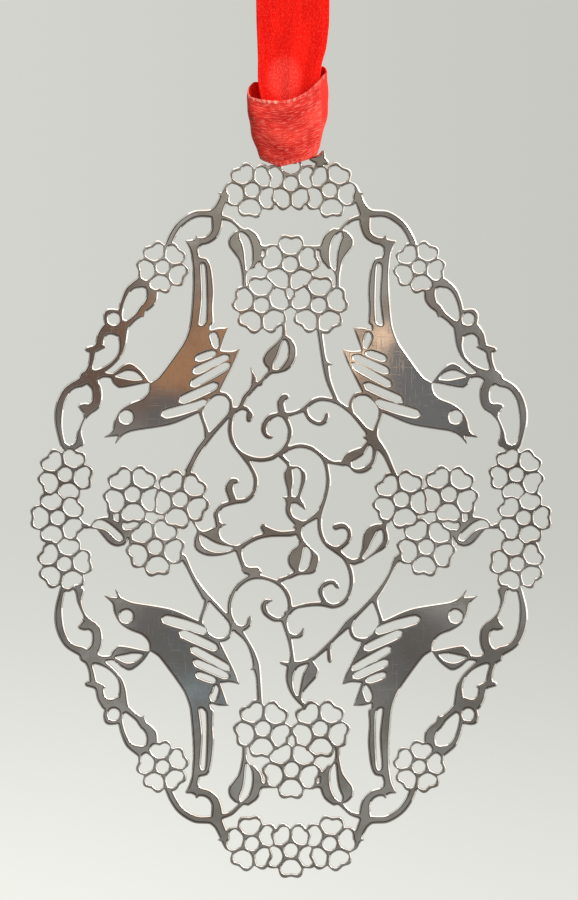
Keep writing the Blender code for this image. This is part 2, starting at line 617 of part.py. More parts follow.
BLOSSOMS = [mirrored_blossom(MIDDLE_BLOSSOM, 1, sz) for sz in (1, -1)]
for sx, sz in QUARTERS:
    BLOSSOMS.append(mirrored_blossom(ROW_BLOSSOM, sx, sz))
    BLOSSOMS.append(mirrored_blossom(CORNER_BLOSSOM, sx, sz))
for sx, sz in SIDES:
    BLOSSOMS += [mirrored_blossom(b, sx, sz) for b in SIDE_BLOSSOMS + RIGHT_CLUSTER]
BLOSSOMS += [b for b in TOP_CLUSTER]
BLOSSOMS += [turned_blossom(b) for b in TOP_CLUSTER]


def neighbours(blossom):
    """Blossoms that stand close enough to share a wall, with the gap between the two."""
    found = []
    for other in BLOSSOMS:
        between = np.subtract(other[0], blossom[0])
        distance = np.linalg.norm(between)
        reach = LOBE_RADIUS * (blossom[2] + other[2])
        if 0 < distance < reach + WEB_GAP:
            found.append((other, between / distance, distance))
    return found


def open_petals(blossom):
    """A blossom's petal holes, held back from the walls it shares."""
    holes = petal_holes(*blossom)
    for other, way, distance in neighbours(blossom):
        share = distance * blossom[2] / (blossom[2] + other[2])
        edge = np.array(blossom[0]) + way * (share - SHARED_WALL / 2)
        holes = [kept_side(hole, edge, way) for hole in holes]
    return holes


def webs(blossom):
    """Short bars from a blossom's rim into its neighbours'."""
    bars = []
    for other, way, distance in neighbours(blossom):
        if BLOSSOMS.index(other) < BLOSSOMS.index(blossom):
            continue
        start = np.array(blossom[0]) + way * (VALLEY_RADIUS * blossom[2] - WEB_REACH)
        end = np.array(other[0]) - way * (VALLEY_RADIUS * other[2] - WEB_REACH)
        if np.dot(end - start, way) > 0:
            bars.append(line_outline(((*start, WEB_WIDTH), (*end, WEB_WIDTH))))
    return bars


def crossing(outline, x):
    """Heights at which an outline crosses a vertical line."""
    heights = []
    for (ax, az), (bx, bz) in zip(outline, np.roll(outline, -1, axis=0)):
        if (ax - x) * (bx - x) < 0:
            heights.append(az + (bz - az) * (x - ax) / (bx - ax))
    return sorted(heights)


# The swing axis runs along the middle of the rim over the top petal, where the ribbon goes through.
STRETCH = np.array((SHEET_WIDTH / DRAWN_WIDTH, SHEET_HEIGHT / DRAWN_HEIGHT))
TOP_PETAL = max(petal_holes(*MIDDLE_BLOSSOM), key=lambda hole: hole[:, 1].max()) * STRETCH
TOP_TIP = TOP_PETAL[np.argsort(TOP_PETAL[:, 1])[-2:]]
RIM_TOP = crossing(blossom_outline(*MIDDLE_BLOSSOM) * STRETCH, 0)[-1]
RIM_FOOT = TOP_TIP[:, 1].max()
RIM_HEIGHT = (RIM_TOP + RIM_FOOT) / 2
RIM_REACH = math.hypot((RIM_TOP - RIM_FOOT) / 2, SHEET_THICKNESS / 2)

for old in list(bpy.data.objects):
    bpy.data.objects.remove(old)

parts = bpy.data.collections.new("pierced_ornament")
helpers = bpy.data.collections.new("cutters")
piercings = bpy.data.collections.new("piercings")
silhouettes = bpy.data.collections.new("silhouettes")
openings = bpy.data.collections.new("openings")
for group in (parts, helpers):
    bpy.context.scene.collection.children.link(group)
for group in (piercings, silhouettes, openings):
    helpers.children.link(group)


def material(name, colour, metallic, roughness):
    made = bpy.data.materials.new(name)
    made.use_nodes = True
    shader = made.node_tree.nodes["Principled BSDF"]
    shader.inputs["Base Color"].default_value = (*colour, 1)
    shader.inputs["Metallic"].default_value = metallic
    shader.inputs["Roughness"].default_value = roughness
    return made


silver = material("silver", (0.78, 0.78, 0.8), 1.0, 0.22)
satin = material("red_satin", (0.7, 0.01, 0.008), 0.0, 0.45)


def flat_solid(name, outlines, depth, group):
    """Flat outlines in the sheet's plane, filled and given a depth across it, from the swing axis."""
    curve = bpy.data.curves.new(name, "CURVE")
    curve.dimensions = "2D"
    curve.fill_mode = "BOTH"
    curve.extrude = depth / 2
    for outline in outlines:
        spline = curve.splines.new("POLY")
        spline.points.add(len(outline) - 1)
        for point, (x, z) in zip(spline.points, outline):
            point.co = (x, z - RIM_HEIGHT, 0, 1)
        spline.use_cyclic_u = True
    drawn = bpy.data.objects.new(name, curve)
    group.objects.link(drawn)
    drawn.rotation_euler.x = math.pi / 2
    drawn.location.z = -HANG_HEIGHT * MM
    bpy.context.view_layer.update()
    mesh = bpy.data.meshes.new_from_object(drawn.evaluated_get(bpy.context.evaluated_depsgraph_get()))
    stand = Matrix.Rotation(math.pi / 2, 4, "X")
    place = drawn.matrix_world @ stand.inverted()
    bpy.data.objects.remove(drawn)
    welded = bmesh.new()
    welded.from_mesh(mesh)
    welded.transform(stand @ Matrix.Scale(MM, 4))
    bmesh.ops.remove_doubles(welded, verts=welded.verts, dist=0.00001)
    bmesh.ops.recalc_face_normals(welded, faces=welded.faces)
    welded.to_mesh(mesh)
    welded.free()
    solid = bpy.data.objects.new(name, mesh)
    solid.matrix_world = place
    group.objects.link(solid)
    return solid


def lofted(name, sections, closed):
    """Solid through closed sections of equal point counts, either a ring or capped at both ends."""
    shape = bmesh.new()
    rows = [[shape.verts.new(p * MM) for p in section] for section in sections]
    pairs = list(zip(rows, rows[1:]))
    if closed:
        pairs.append((rows[-1], rows[0]))
    else:
        shape.faces.new(rows[0])
        shape.faces.new(rows[-1][::-1])
    for here, there in pairs:
        for k in range(len(here)):
            shape.faces.new((here[k - 1], here[k], there[k], there[k - 1]))
    bmesh.ops.recalc_face_normals(shape, faces=shape.faces)
    mesh = bpy.data.meshes.new(name)
    shape.to_mesh(mesh)
    shape.free()
    solid = bpy.data.objects.new(name, mesh)
    solid.location.z = -HANG_HEIGHT * MM
    mesh.materials.append(satin)
    parts.objects.link(solid)
    return solid


def strip(name, stations):
    """Ribbon along stations (y, height, x, half width, thickness), its width always across X."""
    line = facetted(stations, [False] * len(stations), False)
    way = along(line)
    sections = []
    for (y, height, x, half, thick), (dy, dz) in zip(line, way):
        lift = np.array((0, -dz, dy)) * thick / 2
        left, right = np.array((x - half, y, height)), np.array((x + half, y, height))
        sections.append((left - lift, right - lift, right + lift, left + lift))
    return lofted(name, sections, False)


# Sheet: every silhouette joined, then every piercing cut through it
shapes = [blossom_outline(*b) for b in BLOSSOMS]
shapes += [web for b in BLOSSOMS for web in webs(b)]
shapes += [line_outline(line) for line in VINE_LINES]
shapes += [closed_outline(o) for o in VINE_OUTLINES]
shapes.append(line_outline(RIBBON_SPIKE))
holes = [[ring(b[0], EYE_RADIUS * b[2], 6), *open_petals(b)] for b in BLOSSOMS]
holes += [[closed_outline(o)] for o in VINE_SLITS]
for sx, sz in QUARTERS:
    shapes += [line_outline(mirrored(line, sx, sz)) for line in QUARTER_LINES]
    shapes += [closed_outline(mirrored(o, sx, sz)) for o in QUARTER_OUTLINES]
    holes += [[closed_outline(mirrored(o, sx, sz))] for o in QUARTER_SLITS]
    holes += [[line_outline(mirrored(line, sx, sz))] for line in QUARTER_SLOTS]
    holes += [[ring(mirrored([QUARTER_EYE], sx, sz)[0], BIRD_EYE_RADIUS, 7)]]
for sx, sz in SIDES:
    shapes += [line_outline(mirrored(line, sx, sz)) for line in HALF_LINES]
    shapes += [closed_outline(mirrored(o, sx, sz)) for o in HALF_OUTLINES]
    holes += [[closed_outline(mirrored(o, sx, sz))] for o in HALF_SLITS]

shapes = [shape * STRETCH for shape in shapes]
holes = [[hole * STRETCH for hole in group] for group in holes]
blank = flat_solid("blank", shapes[:1], SHEET_THICKNESS, helpers)
for index, shape in enumerate(shapes[1:]):
    flat_solid(f"silhouette_{index:03d}", [shape], SHEET_THICKNESS, silhouettes)
for index, group in enumerate(holes):
    flat_solid(f"piercing_{index:03d}", group, SHEET_THICKNESS + 2 * PIERCING_OVERRUN, piercings)
# The silhouettes share the sheet's two faces, which the exact solver leaves open.
for name, operation, group in (("join", "UNION", silhouettes), ("pierce", "DIFFERENCE", piercings)):
    step = blank.modifiers.new(name, "BOOLEAN")
    step.operation = operation
    step.operand_type = "COLLECTION"
    step.collection = group
    step.solver = "MANIFOLD"


def front_rims(solid):
    """Outlines of a flat solid's front face, without the points left over from joining."""
    bpy.context.view_layer.update()
    mesh = bpy.data.meshes.new_from_object(solid.evaluated_get(bpy.context.evaluated_depsgraph_get()))
    face = bmesh.new()
    face.from_mesh(mesh)
    bpy.data.meshes.remove(mesh)
    bmesh.ops.delete(face, geom=[f for f in face.faces if f.normal.y > -0.5], context="FACES")
    bmesh.ops.remove_doubles(face, verts=face.verts, dist=0.00002)
    rims = []
    waiting = {edge for edge in face.edges if edge.is_boundary}
    while waiting:
        edge = next(e for e in face.edges if e in waiting)
        spot = edge.verts[0]
        walk = []
        while edge:
            waiting.discard(edge)
            spot = edge.other_vert(spot)
            if spot in walk:
                rims.append(walk[walk.index(spot) :])
                walk = walk[: walk.index(spot)]
            walk.append(spot)
            edge = next((e for e in spot.link_edges if e in waiting), None)
        rims.append(walk)
    rims = [np.array([(v.co.x / MM, v.co.z / MM + RIM_HEIGHT) for v in walk]) for walk in rims]
    face.free()
    return [thinned(without_spikes(rim), FACET_SAG) for rim in rims if enclosed(rim) > SMALLEST_HOLE]


rims = sorted(front_rims(blank), key=enclosed)
for drawn in list(helpers.all_objects):
    bpy.data.objects.remove(drawn)
plate = flat_solid("pierced_plate", rims[-1:], SHEET_THICKNESS, parts)
for index, rim in enumerate(rims[:-1]):
    flat_solid(f"opening_{index:03d}", [rim], SHEET_THICKNESS + 2 * PIERCING_OVERRUN, openings)
saw = plate.modifiers.new("saw", "BOOLEAN")
saw.operation = "DIFFERENCE"
saw.operand_type = "COLLECTION"
saw.collection = openings
saw.solver = "MANIFOLD"
flatten = plate.modifiers.new("flatten", "DECIMATE")
flatten.decimate_type = "DISSOLVE"
flatten.angle_limit = math.radians(FLAT_TURN)
plate.data.materials.append(silver)

# Ribbon's loop over the hook, down to the split above the cuff
half_ribbon = RIBBON_WIDTH / 2
half_tail = TAIL_WIDTH / 2
layer = (LAYER_GAP + RIBBON_THICKNESS) / 2
split = CUFF_HEAD + TAIL_SHOWING
loop_top = HANG_HEIGHT + RIBBON_THICKNESS / 2
loop_middle = loop_top - LOOP_RADIUS
loop_foot = split + PIECE_GAP
rise = loop_middle - loop_foot
leg = [
    (layer, loop_foot, 0, half_tail, RIBBON_THICKNESS),
    (layer, loop_foot + 0.25 * rise, 0, (half_tail + half_ribbon * 5) / 6, RIBBON_THICKNESS),
    (layer * 1.6, loop_foot + 0.55 * rise, 0, half_ribbon, RIBBON_THICKNESS),
    (LOOP_RADIUS * 0.78, loop_foot + 0.86 * rise, 0, half_ribbon, RIBBON_THICKNESS),
    (LOOP_RADIUS, loop_middle, 0, half_ribbon, RIBBON_THICKNESS),
    (LOOP_RADIUS * 0.707, loop_middle + LOOP_RADIUS * 0.707, 0, half_ribbon, RIBBON_THICKNESS),
]
crown = (0, loop_top, 0, half_ribbon, RIBBON_THICKNESS)
front_leg = [(-y, *rest) for y, *rest in leg]
strip("ribbon_top_loop", front_leg + [crown] + leg[::-1])

# The two strands: tail inside the cuff, gathered turn round the rim, and spread up the back.
# They stand side by side in the tip of the top petal.
inner_edge = STRAND_GAP / 2
outer_edge = TOP_TIP[:, 0].max() - TURN_CLEARANCE
turn_side = (inner_edge + outer_edge) / 2
turn_half = (outer_edge - inner_edge) / 2
turn_radius = RIM_REACH + TURN_CLEARANCE + TURN_THICKNESS / 2
around = [
    (
        -turn_radius * math.cos(math.radians(a)),
        -turn_radius * math.sin(math.radians(a)),
        turn_side,
        turn_half,
        TURN_THICKNESS,
    )
    for a in (0, 30, 60, 90, 120, 150, 180)
]
spread = CUFF_FOOT_WIDTH / 2 * 0.4
for name, side, tail in (("ribbon_strand_left", -1, -layer), ("ribbon_strand_right", 1, layer)):
    reach = inner_edge + spread
    stations = [
        (tail, split, 0, half_tail, RIBBON_THICKNESS),
        (tail, 0.75 * split, 0, half_tail, RIBBON_THICKNESS),
        (tail, 0.5 * split, (reach + inner_edge) / 2 * 0.4, half_tail * 0.7, RIBBON_THICKNESS),
        (-turn_radius if side < 0 else 0, 0.33 * split, reach / 2, reach / 2 * 0.9, RIBBON_THICKNESS),
        (-turn_radius, 0.2 * split, turn_side, turn_half, TURN_THICKNESS),
        *around,
        (turn_radius, 0.14 * split, turn_side, turn_half, TURN_THICKNESS),
        (turn_radius, 0.28 * split, reach / 2, reach / 2 * 0.86, RIBBON_THICKNESS),
        (turn_radius * 1.3, 0.45 * split, spread, spread - inner_edge, RIBBON_THICKNESS),
    ]
    strip(name, [(y, h, x * side, half, thick) for y, h, x, half, thick in stations])

# Cuff: the ribbon's bight, a flattened tube round the tails, higher at the back and the right
cuff_sections = []
for angle in np.radians(np.arange(0, 360, 15)):
    across, deep = math.cos(angle), math.sin(angle)
    spread_x = math.copysign(abs(across) ** 0.5, across)
    spread_y = math.copysign(abs(deep) ** 0.5, deep)
    foot = CUFF_FOOT + CUFF_FOOT_SLANT * across + CUFF_FOOT_LIFT * across**4
    head = CUFF_HEAD + CUFF_HEAD_SLANT * across + CUFF_HEAD_TILT * deep + CUFF_HEAD_LIFT * abs(across)
    outer, inner = [], []
    for step in range(5):
        share = step / 4
        ease = share * (2 - share)
        half_x = (CUFF_FOOT_WIDTH + (CUFF_WIDTH - CUFF_FOOT_WIDTH) * ease) / 2
        half_y = (CUFF_FOOT_DEPTH + (CUFF_DEPTH - CUFF_FOOT_DEPTH) * math.sin(math.pi * share)) / 2
        height = foot + (head - foot) * share
        lean = -CUFF_LEAN * ease
        for row, inset in ((outer, 0), (inner, RIBBON_THICKNESS)):
            x = lean + (half_x - inset) * spread_x
            row.append(np.array((x, (half_y - inset) * spread_y, height)))
    cuff_sections.append(outer + inner[::-1])
lofted("ribbon_cuff", cuff_sections, True)

for solid in helpers.all_objects:
    solid.hide_render = True
    solid.display_type = "WIRE"
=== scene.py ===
import math

import bpy
import numpy as np
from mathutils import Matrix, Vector
from mathutils.geometry import delaunay_2d_cdt


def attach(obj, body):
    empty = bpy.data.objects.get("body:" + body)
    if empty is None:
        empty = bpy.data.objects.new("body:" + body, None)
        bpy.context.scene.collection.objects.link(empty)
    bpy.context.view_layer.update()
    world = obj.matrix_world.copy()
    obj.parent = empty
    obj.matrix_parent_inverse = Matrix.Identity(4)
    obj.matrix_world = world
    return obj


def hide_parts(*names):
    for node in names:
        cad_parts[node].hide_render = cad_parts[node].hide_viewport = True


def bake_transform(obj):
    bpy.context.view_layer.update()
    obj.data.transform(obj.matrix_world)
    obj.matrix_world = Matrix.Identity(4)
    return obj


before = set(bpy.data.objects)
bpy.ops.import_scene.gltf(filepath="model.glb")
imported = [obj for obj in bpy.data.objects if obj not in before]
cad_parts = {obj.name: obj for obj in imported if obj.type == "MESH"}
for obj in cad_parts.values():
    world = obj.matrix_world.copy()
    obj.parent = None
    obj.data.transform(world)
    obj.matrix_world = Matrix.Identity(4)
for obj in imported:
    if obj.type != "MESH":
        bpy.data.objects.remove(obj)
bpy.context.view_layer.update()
mm = 0.001
scene = bpy.context.scene
scene.view_settings.view_transform = "Standard"


# meshes from arrays

def putMesh(name, points, faces, mats, uv=None, flat=None, slotOfFace=None):
    # points n x 3, faces a list of index arrays; uv per point, flat and slotOfFace per face
    mesh = bpy.data.meshes.new(name)
    faces = [np.asarray(part, dtype=np.int32) for part in faces if len(part)]
    sizes = np.concatenate([np.full(len(part), part.shape[1], dtype=np.int32) for part in faces])
    corners = np.concatenate([part.reshape(-1) for part in faces])
    starts = np.concatenate([[0], np.cumsum(sizes)[:-1]]).astype(np.int32)
    mesh.vertices.add(len(points))
    mesh.vertices.foreach_set("co", np.asarray(points, dtype=np.float32).reshape(-1))
    mesh.loops.add(len(corners))
    mesh.loops.foreach_set("vertex_index", corners)
    mesh.polygons.add(len(sizes))
    mesh.polygons.foreach_set("loop_start", starts)
    mesh.polygons.foreach_set("loop_total", sizes)
    mesh.polygons.foreach_set("use_smooth", np.ones(len(sizes), dtype=bool) if flat is None else ~flat)
    if slotOfFace is not None:
        mesh.polygons.foreach_set("material_index", slotOfFace.astype(np.int32))
    mesh.update(calc_edges=True)
    mesh.validate()
    if uv is not None:
        layer = mesh.uv_layers.new(name="cloth")
        layer.data.foreach_set("uv", np.asarray(uv, dtype=np.float32)[corners].reshape(-1))
    for mat in mats:
        mesh.materials.append(mat)
    piece = bpy.data.objects.new(name, mesh)
    scene.collection.objects.link(piece)
    return piece


def throughStations(rows, count):
    # smooth curve through the rows, a Catmull-Rom spline on their numbers: count points, even in row number
    rows = np.asarray(rows, dtype=float)
    padded = np.concatenate([2 * rows[:1] - rows[1:2], rows, 2 * rows[-1:] - rows[-2:-1]])
    at = np.linspace(0, len(rows) - 1, count)
    first = np.minimum(at.astype(int), len(rows) - 2)
    t = (at - first).reshape((-1,) + (1,) * (rows.ndim - 1))
    a, b, c, d = [padded[first + k] for k in range(4)]
    return 0.5 * (2 * b + (c - a) * t + (2 * a - 5 * b + 4 * c - d) * t ** 2
                  + (3 * b - a - 3 * c + d) * t ** 3)


def lengthAlong(path):
    # distance from the first point of a path to each of its points
    return np.concatenate([[0], np.cumsum(np.linalg.norm(np.diff(path, axis=0), axis=1))])


def smoothStep(low, high, value):
    t = np.clip((value - low) / (high - low), 0, 1)
    return t * t * (3 - 2 * t)


def gridNormals(grid):
    # unit cross product of the two directions of a rows x columns grid of points
    normal = np.cross(np.gradient(grid, axis=0), np.gradient(grid, axis=1))
    return normal / np.maximum(np.linalg.norm(normal, axis=2, keepdims=True), 1e-12)


def gridFaces(rows, columns):
    # point numbers of a rows x columns grid, and its four-sided faces
    index = np.arange(rows * columns).reshape(rows, columns)
    corners = [index[:-1, :-1], index[1:, :-1], index[1:, 1:], index[:-1, 1:]]
    return index, np.stack(corners, axis=-1).reshape(-1, 4)


def clothShell(name, grid, uv, thickness, mats):
    # a strip with two faces: each grid point moved half the thickness both ways along its normal, the two
    # layers joined round the border; the normal's side and the border take mats[0], the other side mats[1]
    half = gridNormals(grid) * np.asarray(thickness).reshape(-1, 1, 1) / 2
    points = np.concatenate([(grid + half).reshape(-1, 3), (grid - half).reshape(-1, 3)])
    index, outer = gridFaces(*grid.shape[:2])
    inner = outer[:, ::-1] + index.size
    border = np.concatenate([index[:-1, 0], index[-1, :-1], index[:0:-1, -1], index[0, :0:-1]])
    ahead = np.roll(border, -1)
    edge = np.stack([ahead, border, border + index.size, ahead + index.size], axis=-1)
    slots = np.concatenate([np.zeros(len(outer)), np.ones(len(inner)), np.zeros(len(edge))])
    return putMesh(name, points, [outer, inner, edge], mats, np.concatenate([uv.reshape(-1, 2)] * 2),
                   slotOfFace=slots)


# shader maths

class Wire:
    # a socket of a node tree; + - * on values add Math nodes, and node adds any other
    def __init__(self, tree, socket=None):
        self.tree = tree
        self.socket = socket

    def node(self, kind, settings=None, inputs=None, out=0):
        made = self.tree.nodes.new(kind)
        for key, value in (settings or {}).items():
            setattr(made, key, value)
        for key, value in (inputs or {}).items():
            if isinstance(value, Wire):
                self.tree.links.new(value.socket, made.inputs[key])
            else:
                made.inputs[key].default_value = value
        return Wire(self.tree, made.outputs[out])

    def beside(self, out):
        # another output of the same node
        return Wire(self.tree, self.socket.node.outputs[out])

    def math(self, operation, *values):
        return self.node("ShaderNodeMath", dict(operation=operation), dict(enumerate(values)))

    def mix(self, factor, low, high, blend="MIX"):
        # colours: inputs 6 and 7 of the Mix node, result 2
        four = [value if isinstance(value, Wire) else tuple(value) + (1,) for value in (low, high)]
        return self.node("ShaderNodeMix", dict(data_type="RGBA", blend_type=blend),
                         {0: factor, 6: four[0], 7: four[1]}, out=2)

    def span(self, value, low, high):
        # 0 at low, 1 at high, smooth between
        return self.node("ShaderNodeMapRange", dict(interpolation_type="SMOOTHSTEP"),
                         {"Value": value, "From Min": low, "From Max": high})

    def noise(self, vector, scale, detail=3.0, rough=0.5):
        return self.node("ShaderNodeTexNoise", None,
                         {"Vector": vector, "Scale": scale, "Detail": detail, "Roughness": rough})

    def placed(self, vector, scale, turn=(0, 0, 0)):
        return self.node("ShaderNodeMapping", None, {"Vector": vector, "Scale": scale, "Rotation": turn})

    def apart(self, place, spot):
        return self.node("ShaderNodeVectorMath", dict(operation="DISTANCE"), {0: place, 1: spot}, out=1)

    def bump(self, strength, distance, height, **under):
        return self.node("ShaderNodeBump", None,
                         {"Strength": strength, "Distance": distance, "Height": height, **under})

    def __add__(self, other):
        return self.math("ADD", self, other)

    def __radd__(self, other):
        return self.math("ADD", other, self)

    def __sub__(self, other):
        return self.math("SUBTRACT", self, other)

    def __rsub__(self, other):
        return self.math("SUBTRACT", other, self)

    def __mul__(self, other):
        return self.math("MULTIPLY", self, other)

    def __rmul__(self, other):
        return self.math("MULTIPLY", other, self)


def newMaterial(name, fixed):
    # a material with its Principled shader; fixed gives the sockets that are the same all over
    mat = bpy.data.materials.new(name)
    mat.use_nodes = True
    shader = mat.node_tree.nodes["Principled BSDF"]
    for key, value in fixed.items():
        shader.inputs[key].default_value = value

    def feed(**values):
        for key, value in values.items():
            mat.node_tree.links.new(value.socket, shader.inputs[key.replace("_", " ")])
    return mat, Wire(mat.node_tree), feed


def glowMaterial(name):
    # a material that only gives light
    mat = bpy.data.materials.new(name)
    mat.use_nodes = True
    nodes = mat.node_tree.nodes
    nodes.remove(nodes["Principled BSDF"])
    wire = Wire(mat.node_tree)

    def glow(colour, strength):
        light = wire.node("ShaderNodeEmission", None, {"Color": colour, "Strength": strength})
        mat.node_tree.links.new(light.socket, nodes["Material Output"].inputs["Surface"])
    return mat, wire, glow


# finishes

silverLook = dict(bright=(0.83, 0.815, 0.79), dull=(0.62, 0.58, 0.54), rough=0.04, tarnishRough=0.05,
                  scratchRough=0.08, cloud=(130.0, 4.0, 0.55), grain=(3200.0, 2.0), tarnish=(0.5, 0.72),
                  waves=(75.0, 1.0), bow=0.45e-4, scratch=1.6e-6,
                  scratches=[((6500, 400, 260), 0.5, (0.62, 0.74)), ((300, 400, 7000), -0.35, (0.64, 0.76))])


def polishedSilver():
    # bright metal: clouds of slight tarnish, fine scratches two ways, and a sheet that isn't quite flat
    look = silverLook
    mat, wire, feed = newMaterial("polishedSilver", {"Metallic": 1.0})
    place = wire.node("ShaderNodeTexCoord", out=3)
    grain = wire.noise(place, *look["grain"])
    tarnish = wire.span(wire.noise(place, *look["cloud"]) + grain * 0.15, *look["tarnish"])
    lines = [wire.span(wire.noise(wire.placed(place, scale, (0, turn, 0)), 1.0, 2.0), *shown)
             for scale, turn, shown in look["scratches"]]
    scratch = lines[0] * 0.5 + lines[1] * 0.5
    soft = wire.bump(1.0, look["bow"], wire.noise(place, *look["waves"]))
    feed(Base_Color=wire.mix(tarnish, look["bright"], look["dull"]),
         Roughness=look["rough"] + tarnish * look["tarnishRough"] + scratch * look["scratchRough"],
         Normal=wire.bump(1.0, look["scratch"], scratch + grain * 0.2, Normal=soft))
    return mat


satinCloth = dict(
    # the weave and its tones, with painted sheen, painted glints and painted shade
    cloud=(3.2, 1.6, 1), streak=(24, 1.8, 1), uneven=(1, 6, 1), picks=42, ridges=62,
    tone=(0.38, 0.62), lit=(0.5, 0.68), dashShade=(0.46, 0.3),
    # the selvedge, the painted sheen above the hitch, and the painted light where it turns over
    wander=7.0, beadOut=0.016, edgeSoft=0.025, shown=(0.3, 0.62),
    sheenPatchFrom=(1.0, 0.1), sheenPatchDash=(0.48, 0.62), sheenPatchShare=(0.3, 0.55),
    edgeLost=0.75, foldSoft=(0.02, 0.1), foldSide=(0.3, 0.5))


def satin(name, look):
    # satin strip on its own UV: u runs across the 10 mm, v along in the same unit;
    # warp threads along it, painted streaks of sheen, painted glints and shade on the weave, and a firm
    # selvedge down both sides
    cloth = satinCloth
    mat, wire, feed = newMaterial(name, {"Sheen Weight": look["sheen"], "Sheen Roughness": 0.4,
                                         "Specular IOR Level": look["gloss"]})
    uv = wire.node("ShaderNodeUVMap", dict(uv_map="cloth"))
    across = wire.node("ShaderNodeSeparateXYZ", None, {"Vector": uv})
    along = across.beside(1)

    def wave(value):
        return wire.math("SINE", value) * 0.5 + 0.5

    def oval(value, middle, half):
        return wire.math("POWER", (value - middle) * (1 / half), 2.0)

    turn = 2 * math.pi
    cloud = wire.noise(wire.placed(uv, cloth["cloud"]), 1.0, 3.0)
    streak = wire.noise(wire.placed(uv, cloth["streak"]), 1.0, 4.0, 0.62)
    dash = wire.noise(wire.placed(uv, look["weave"]), 1.0, 2.0)
    uneven = wire.noise(wire.placed(uv, cloth["uneven"]), 1.0, 2.0)
    pick, ridge = wave(along * turn * cloth["picks"]), wave(across * turn * cloth["ridges"])
    bead = wave(along * turn * look["beads"] + uneven * cloth["wander"])
    side = wire.math("ABSOLUTE", across - 0.5)
    inner = look["selvedge"]
    selvedge = wire.span(side + bead * cloth["beadOut"], inner, inner + cloth["edgeSoft"])
    high = wire.span(across, 0.4, 0.6)
    shown = wire.span(uneven, *cloth["shown"]) * (look["edgeLow"] + high * (1 - look["edgeLow"]))
    # painted sheen: the streaks and clouds lighten the red; painted glints on the lit dashes of the weave,
    # painted shade on its low dashes
    body = wire.mix(wire.span(streak * 0.5 + cloud * 0.5, *cloth["tone"]), look["deep"], look["light"])
    body = wire.mix(wire.span(dash, *cloth["lit"]) * look["dashes"], body, look["glint"])
    body = wire.mix(wire.span(dash, *cloth["dashShade"]) * look["dashes"], body, look["deep"])
    if "sheenPatch" in look:                      # an oval of painted sheen just above the hitch, lighter and partly in dashes
        u, v, wide, tall = look["sheenPatch"]
        even, dashed = cloth["sheenPatchShare"]
        sheenMask = wire.span(oval(across, u, wide) + oval(along, v, tall), *cloth["sheenPatchFrom"])
        sheenMask = sheenMask * (even + wire.span(dash, *cloth["sheenPatchDash"]) * dashed)
        body = wire.mix(sheenMask, body, look["sheenPatchTone"])
    if "fold" in look:                      # the selvedge is lost, and where the cloth turns over a strip is painted deeper, saturated red: painted light on the turn
        shown = shown * (1 - wire.span(along, *look["edgeStop"]) * cloth["edgeLost"])
        start, stop = look["fold"]
        soon, late = cloth["foldSoft"]
        litTurn = wire.span(along, start, start + soon) * wire.span(along, stop + late, stop)
        body = wire.mix(litTurn * wire.span(across, *cloth["foldSide"]), body, look["foldLitTone"])
    height = ridge * 0.35 + dash * 1.0 + pick * 0.25 + selvedge * (0.5 + bead * 0.7)
    feed(Base_Color=wire.mix(selvedge * (0.12 + bead * 0.88) * shown * look["edgeShow"], body, look["edge"]),
         Roughness=look["rough"] + dash * 0.16 + pick * 0.04,
         Normal=wire.bump(0.8, look["raised"], height))
    return mat


# the face side of the ribbon; its patch above the hitch is a painted sheen
satinFace = dict(deep=(0.72, 0.004, 0.0015), light=(0.93, 0.010, 0.003), glint=(0.96, 0.05, 0.032),
                 edge=(0.95, 0.03, 0.02), weave=(56, 27, 1), selvedge=0.466, edgeShow=0.5, edgeLow=1.0,
                 dashes=0.5, beads=10.5, rough=0.5, sheen=0.0, gloss=0.08, raised=2.5e-5,
                 sheenPatch=(0.42, 0.56, 0.34, 0.38), sheenPatchTone=(0.93, 0.085, 0.065))
# used on the cuff and inside the tails' loop: the same red drawn coral, with pink glints and edges, a painted
# sheen of the light on the cuff
satinReverseSheen = dict(deep=(0.58, 0.011, 0.006), light=(0.88, 0.052, 0.033), glint=(0.95, 0.21, 0.17),
                    edge=(0.92, 0.36, 0.29), weave=(64, 11, 1), selvedge=0.452, edgeShow=1.0, edgeLow=0.45,
                    dashes=0.62, beads=14.0, rough=0.5, sheen=0.04, gloss=0.2, raised=5e-5)
# the smooth turn on the cuff's right, with painted light on it
cuffFold = dict(fold=(2.54, 2.85), foldLitTone=(0.93, 0.014, 0.006), edgeStop=(2.05, 2.4))
silver = polishedSilver()
redFace = satin("redSatinFace", satinFace)
redReverseSheen = satin("redSatinReverseSheen", satinReverseSheen)
redCuff = satin("redSatinCuff", dict(satinReverseSheen, **cuffFold))
print("finishes made")


# camera, at the photograph's place: it looks straight along +Y

cameraSet = dict(x=-0.27 * mm, z=-76.4 * mm, away=0.5, tall=122.85 * mm, sensor=36)
camera = bpy.data.objects.new("camera", bpy.data.cameras.new("camera"))
scene.collection.objects.link(camera)
camera.location = (cameraSet["x"], -cameraSet["away"], cameraSet["z"])
camera.rotation_euler = (math.pi / 2, 0, 0)
camera.data.sensor_fit = "AUTO"
camera.data.sensor_width = cameraSet["sensor"]
camera.data.lens = cameraSet["sensor"] * cameraSet["away"] / cameraSet["tall"]
scene.camera = camera


# ribbon, in mm: axis, foot and crown are places in z, other heights stand above the rim that it goes round

